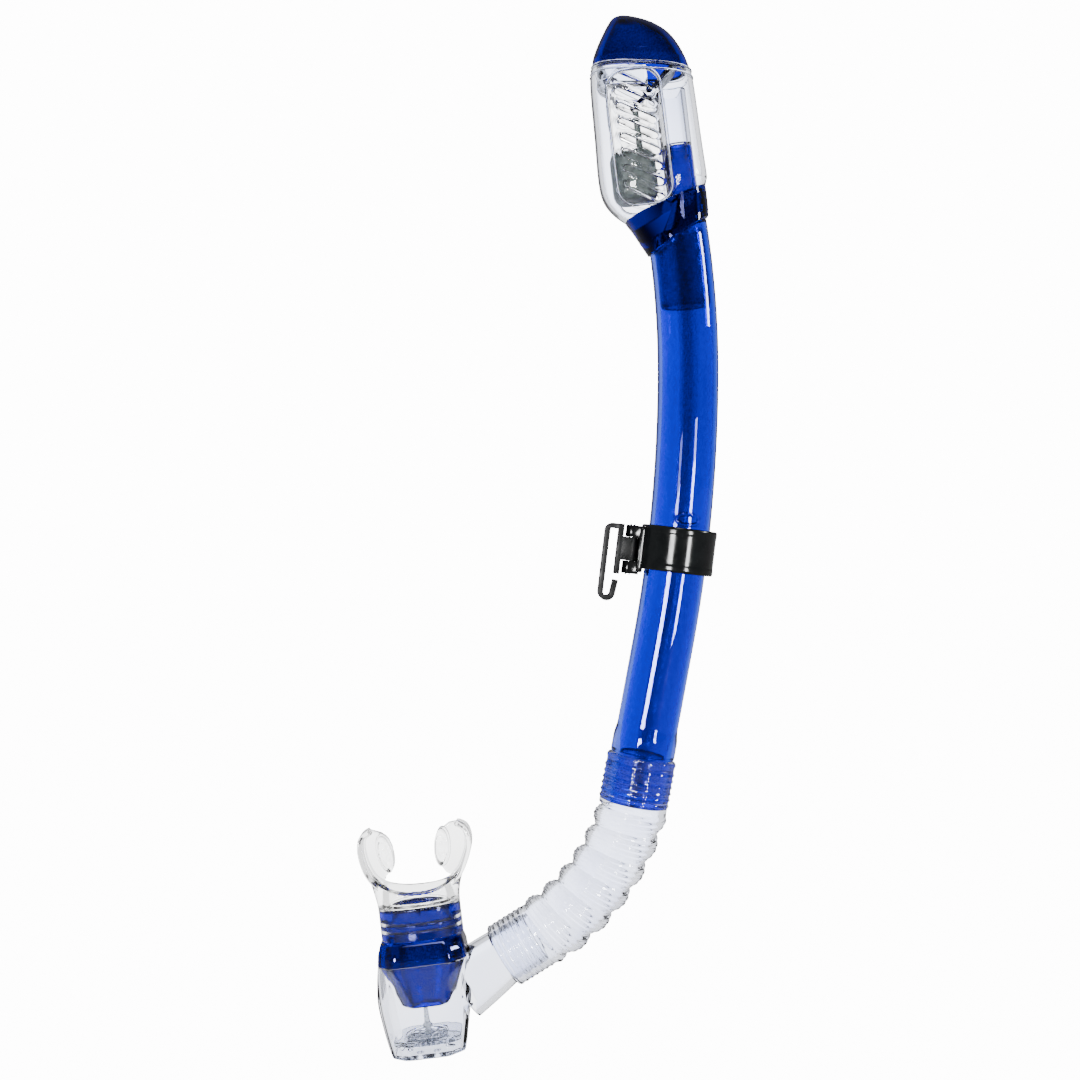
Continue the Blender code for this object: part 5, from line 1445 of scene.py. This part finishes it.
def by_ray(node, kind, room, outer, inner, through, seen):
    """Light for each kind of ray: from matt paint, mirrored on a surface, mirrored inside clear
    plastic, straight through it, and from the camera. Clear walls then stay clear from every
    side, with soft grey edges."""
    def source(strength):
        return node(kind, {"Color": (1.0, 1.0, 1.0, 1.0), "Strength": strength}).outputs[0]

    passed = ray_switch(node, "Glossy Depth", source(through), source(inner))
    gloss = ray_switch(node, "Is Glossy Ray", source(room), source(outer))
    bent = ray_switch(node, "Is Transmission Ray", gloss, passed)
    matt = ray_switch(node, "Diffuse Depth", bent, source(room))
    return ray_switch(node, "Is Camera Ray", matt, source(seen))


def build_world():
    """White behind the object, and panels with dark gaps round it that show in clear plastic."""
    world = bpy.data.worlds.new("studio")
    bpy.context.scene.world = world
    world.use_nodes = True
    world.node_tree.nodes.clear()
    node = node_maker(world.node_tree)
    where = node("ShaderNodeTexCoord").outputs["Generated"]
    x, y, z = node("ShaderNodeSeparateXYZ", {0: where}).outputs
    panels = [ranged(node, worked(node, "ABSOLUTE", way), PANEL_GAP, PANEL_LIGHT, *PANEL_EDGE,
                     "SMOOTHSTEP") for way in (x, y)]
    ceiling = ranged(node, z, 1.0, CEILING_LIGHT / PANEL_LIGHT, *CEILING_EDGE, "SMOOTHSTEP")
    panel = worked(node, "MULTIPLY", worked(node, "MAXIMUM", *panels), ceiling)
    corner = worked(node, "ABSOLUTE", worked(node, "MULTIPLY", x, y))
    inner = ranged(node, corner, *INNER_MIRROR, *CORNER_EDGE, "SMOOTHSTEP")
    shown = by_ray(node, "ShaderNodeBackground", ROOM_LIGHT, OUTER_MIRROR, inner, panel,
                   BACKDROP_LIGHT)
    node("ShaderNodeOutputWorld", {"Surface": shown})


def build_floor():
    level = CAD_BOX[0].z - 0.002
    bpy.ops.mesh.primitive_plane_add(size=12.0, location=(0.0, 0.0, level))
    floor = bpy.context.object
    floor.name = "floor"
    material, surface, node, _ = shader("floor_white")
    surface.inputs["Base Color"].default_value = (0.5, 0.5, 0.5, 1.0)
    surface.inputs["Roughness"].default_value = 0.9
    surface.inputs["Specular IOR Level"].default_value = 0.1
    where = node("ShaderNodeNewGeometry").outputs["Position"]
    away = node("ShaderNodeVectorMath", {0: where}, operation="LENGTH").outputs["Value"]
    through = ranged(node, away, *FLOOR_THROUGH, *FLOOR_EDGE, "SMOOTHSTEP")
    shown = by_ray(node, "ShaderNodeEmission", 0.0, 0.0, FLOOR_MIRRORED, through, FLOOR_SEEN)
    both = node("ShaderNodeAddShader", {0: shown, 1: surface.outputs[0]}).outputs[0]
    tree = material.node_tree
    tree.links.new(both, tree.nodes["Material Output"].inputs["Surface"])
    floor.data.materials.append(material)


def build_lamp(name, width, height, radiance, place, turn, beam=None):
    """A soft box that neither the camera nor matt paint sees."""
    data = bpy.data.lights.new(name, "AREA")
    data.shape = "RECTANGLE"
    data.size, data.size_y = width, height
    power = radiance * math.pi * width * height
    if beam:
        data.spread = beam
        slope = math.tan(beam / 2.0)
        power *= (slope - beam / 2.0) / slope
    data.energy = power
    lamp = bpy.data.objects.new(name, data)
    bpy.context.scene.collection.objects.link(lamp)
    lamp.location = place
    lamp.rotation_euler = turn
    lamp.visible_camera = False
    lamp.visible_diffuse = False


def build_stage():
    build_world()
    build_floor()
    upright = math.radians(90.0)
    for name, angle, low, high, width, radiance in STRIPS:
        turn = math.radians(angle)
        middle = Vector((0.04, 0.0, (low + high) / 2.0))
        place = middle + Vector((math.sin(turn), -math.cos(turn), 0.0)) * STRIP_DISTANCE
        build_lamp(name, width, high - low, radiance, place, (upright, 0.0, turn))
    way = Vector((0.0, -math.cos(OVERHEAD_ANGLE), math.sin(OVERHEAD_ANGLE)))
    build_lamp("overhead", *OVERHEAD_SIZE, OVERHEAD, Vector((-0.04, 0.0, -0.18)) + way * 1.2,
               (upright - OVERHEAD_ANGLE, 0.0, 0.0), OVERHEAD_BEAM)


def build_camera():
    data = bpy.data.cameras.new("camera")
    data.lens, data.sensor_width = CAMERA_LENS
    camera = bpy.data.objects.new("camera", data)
    bpy.context.scene.collection.objects.link(camera)
    camera.location = CAMERA_PLACE
    camera.rotation_euler = (math.radians(90.0), 0.0, 0.0)
    bpy.context.scene.camera = camera


build_camera()
build_tube()
build_housing()
build_grille("front_louvres", "front_grille", -1.0)
build_grille("back_louvres", "back_grille", 1.0)
build_panel_rims()
build_cap()
build_drip_ring()
build_base()
build_riser()
build_float()
build_band()
build_clip()
build_hose()
build_chamber()
build_connector()
build_mouthpiece()
build_purge_plates()
finish_small_nodes()
build_stage()
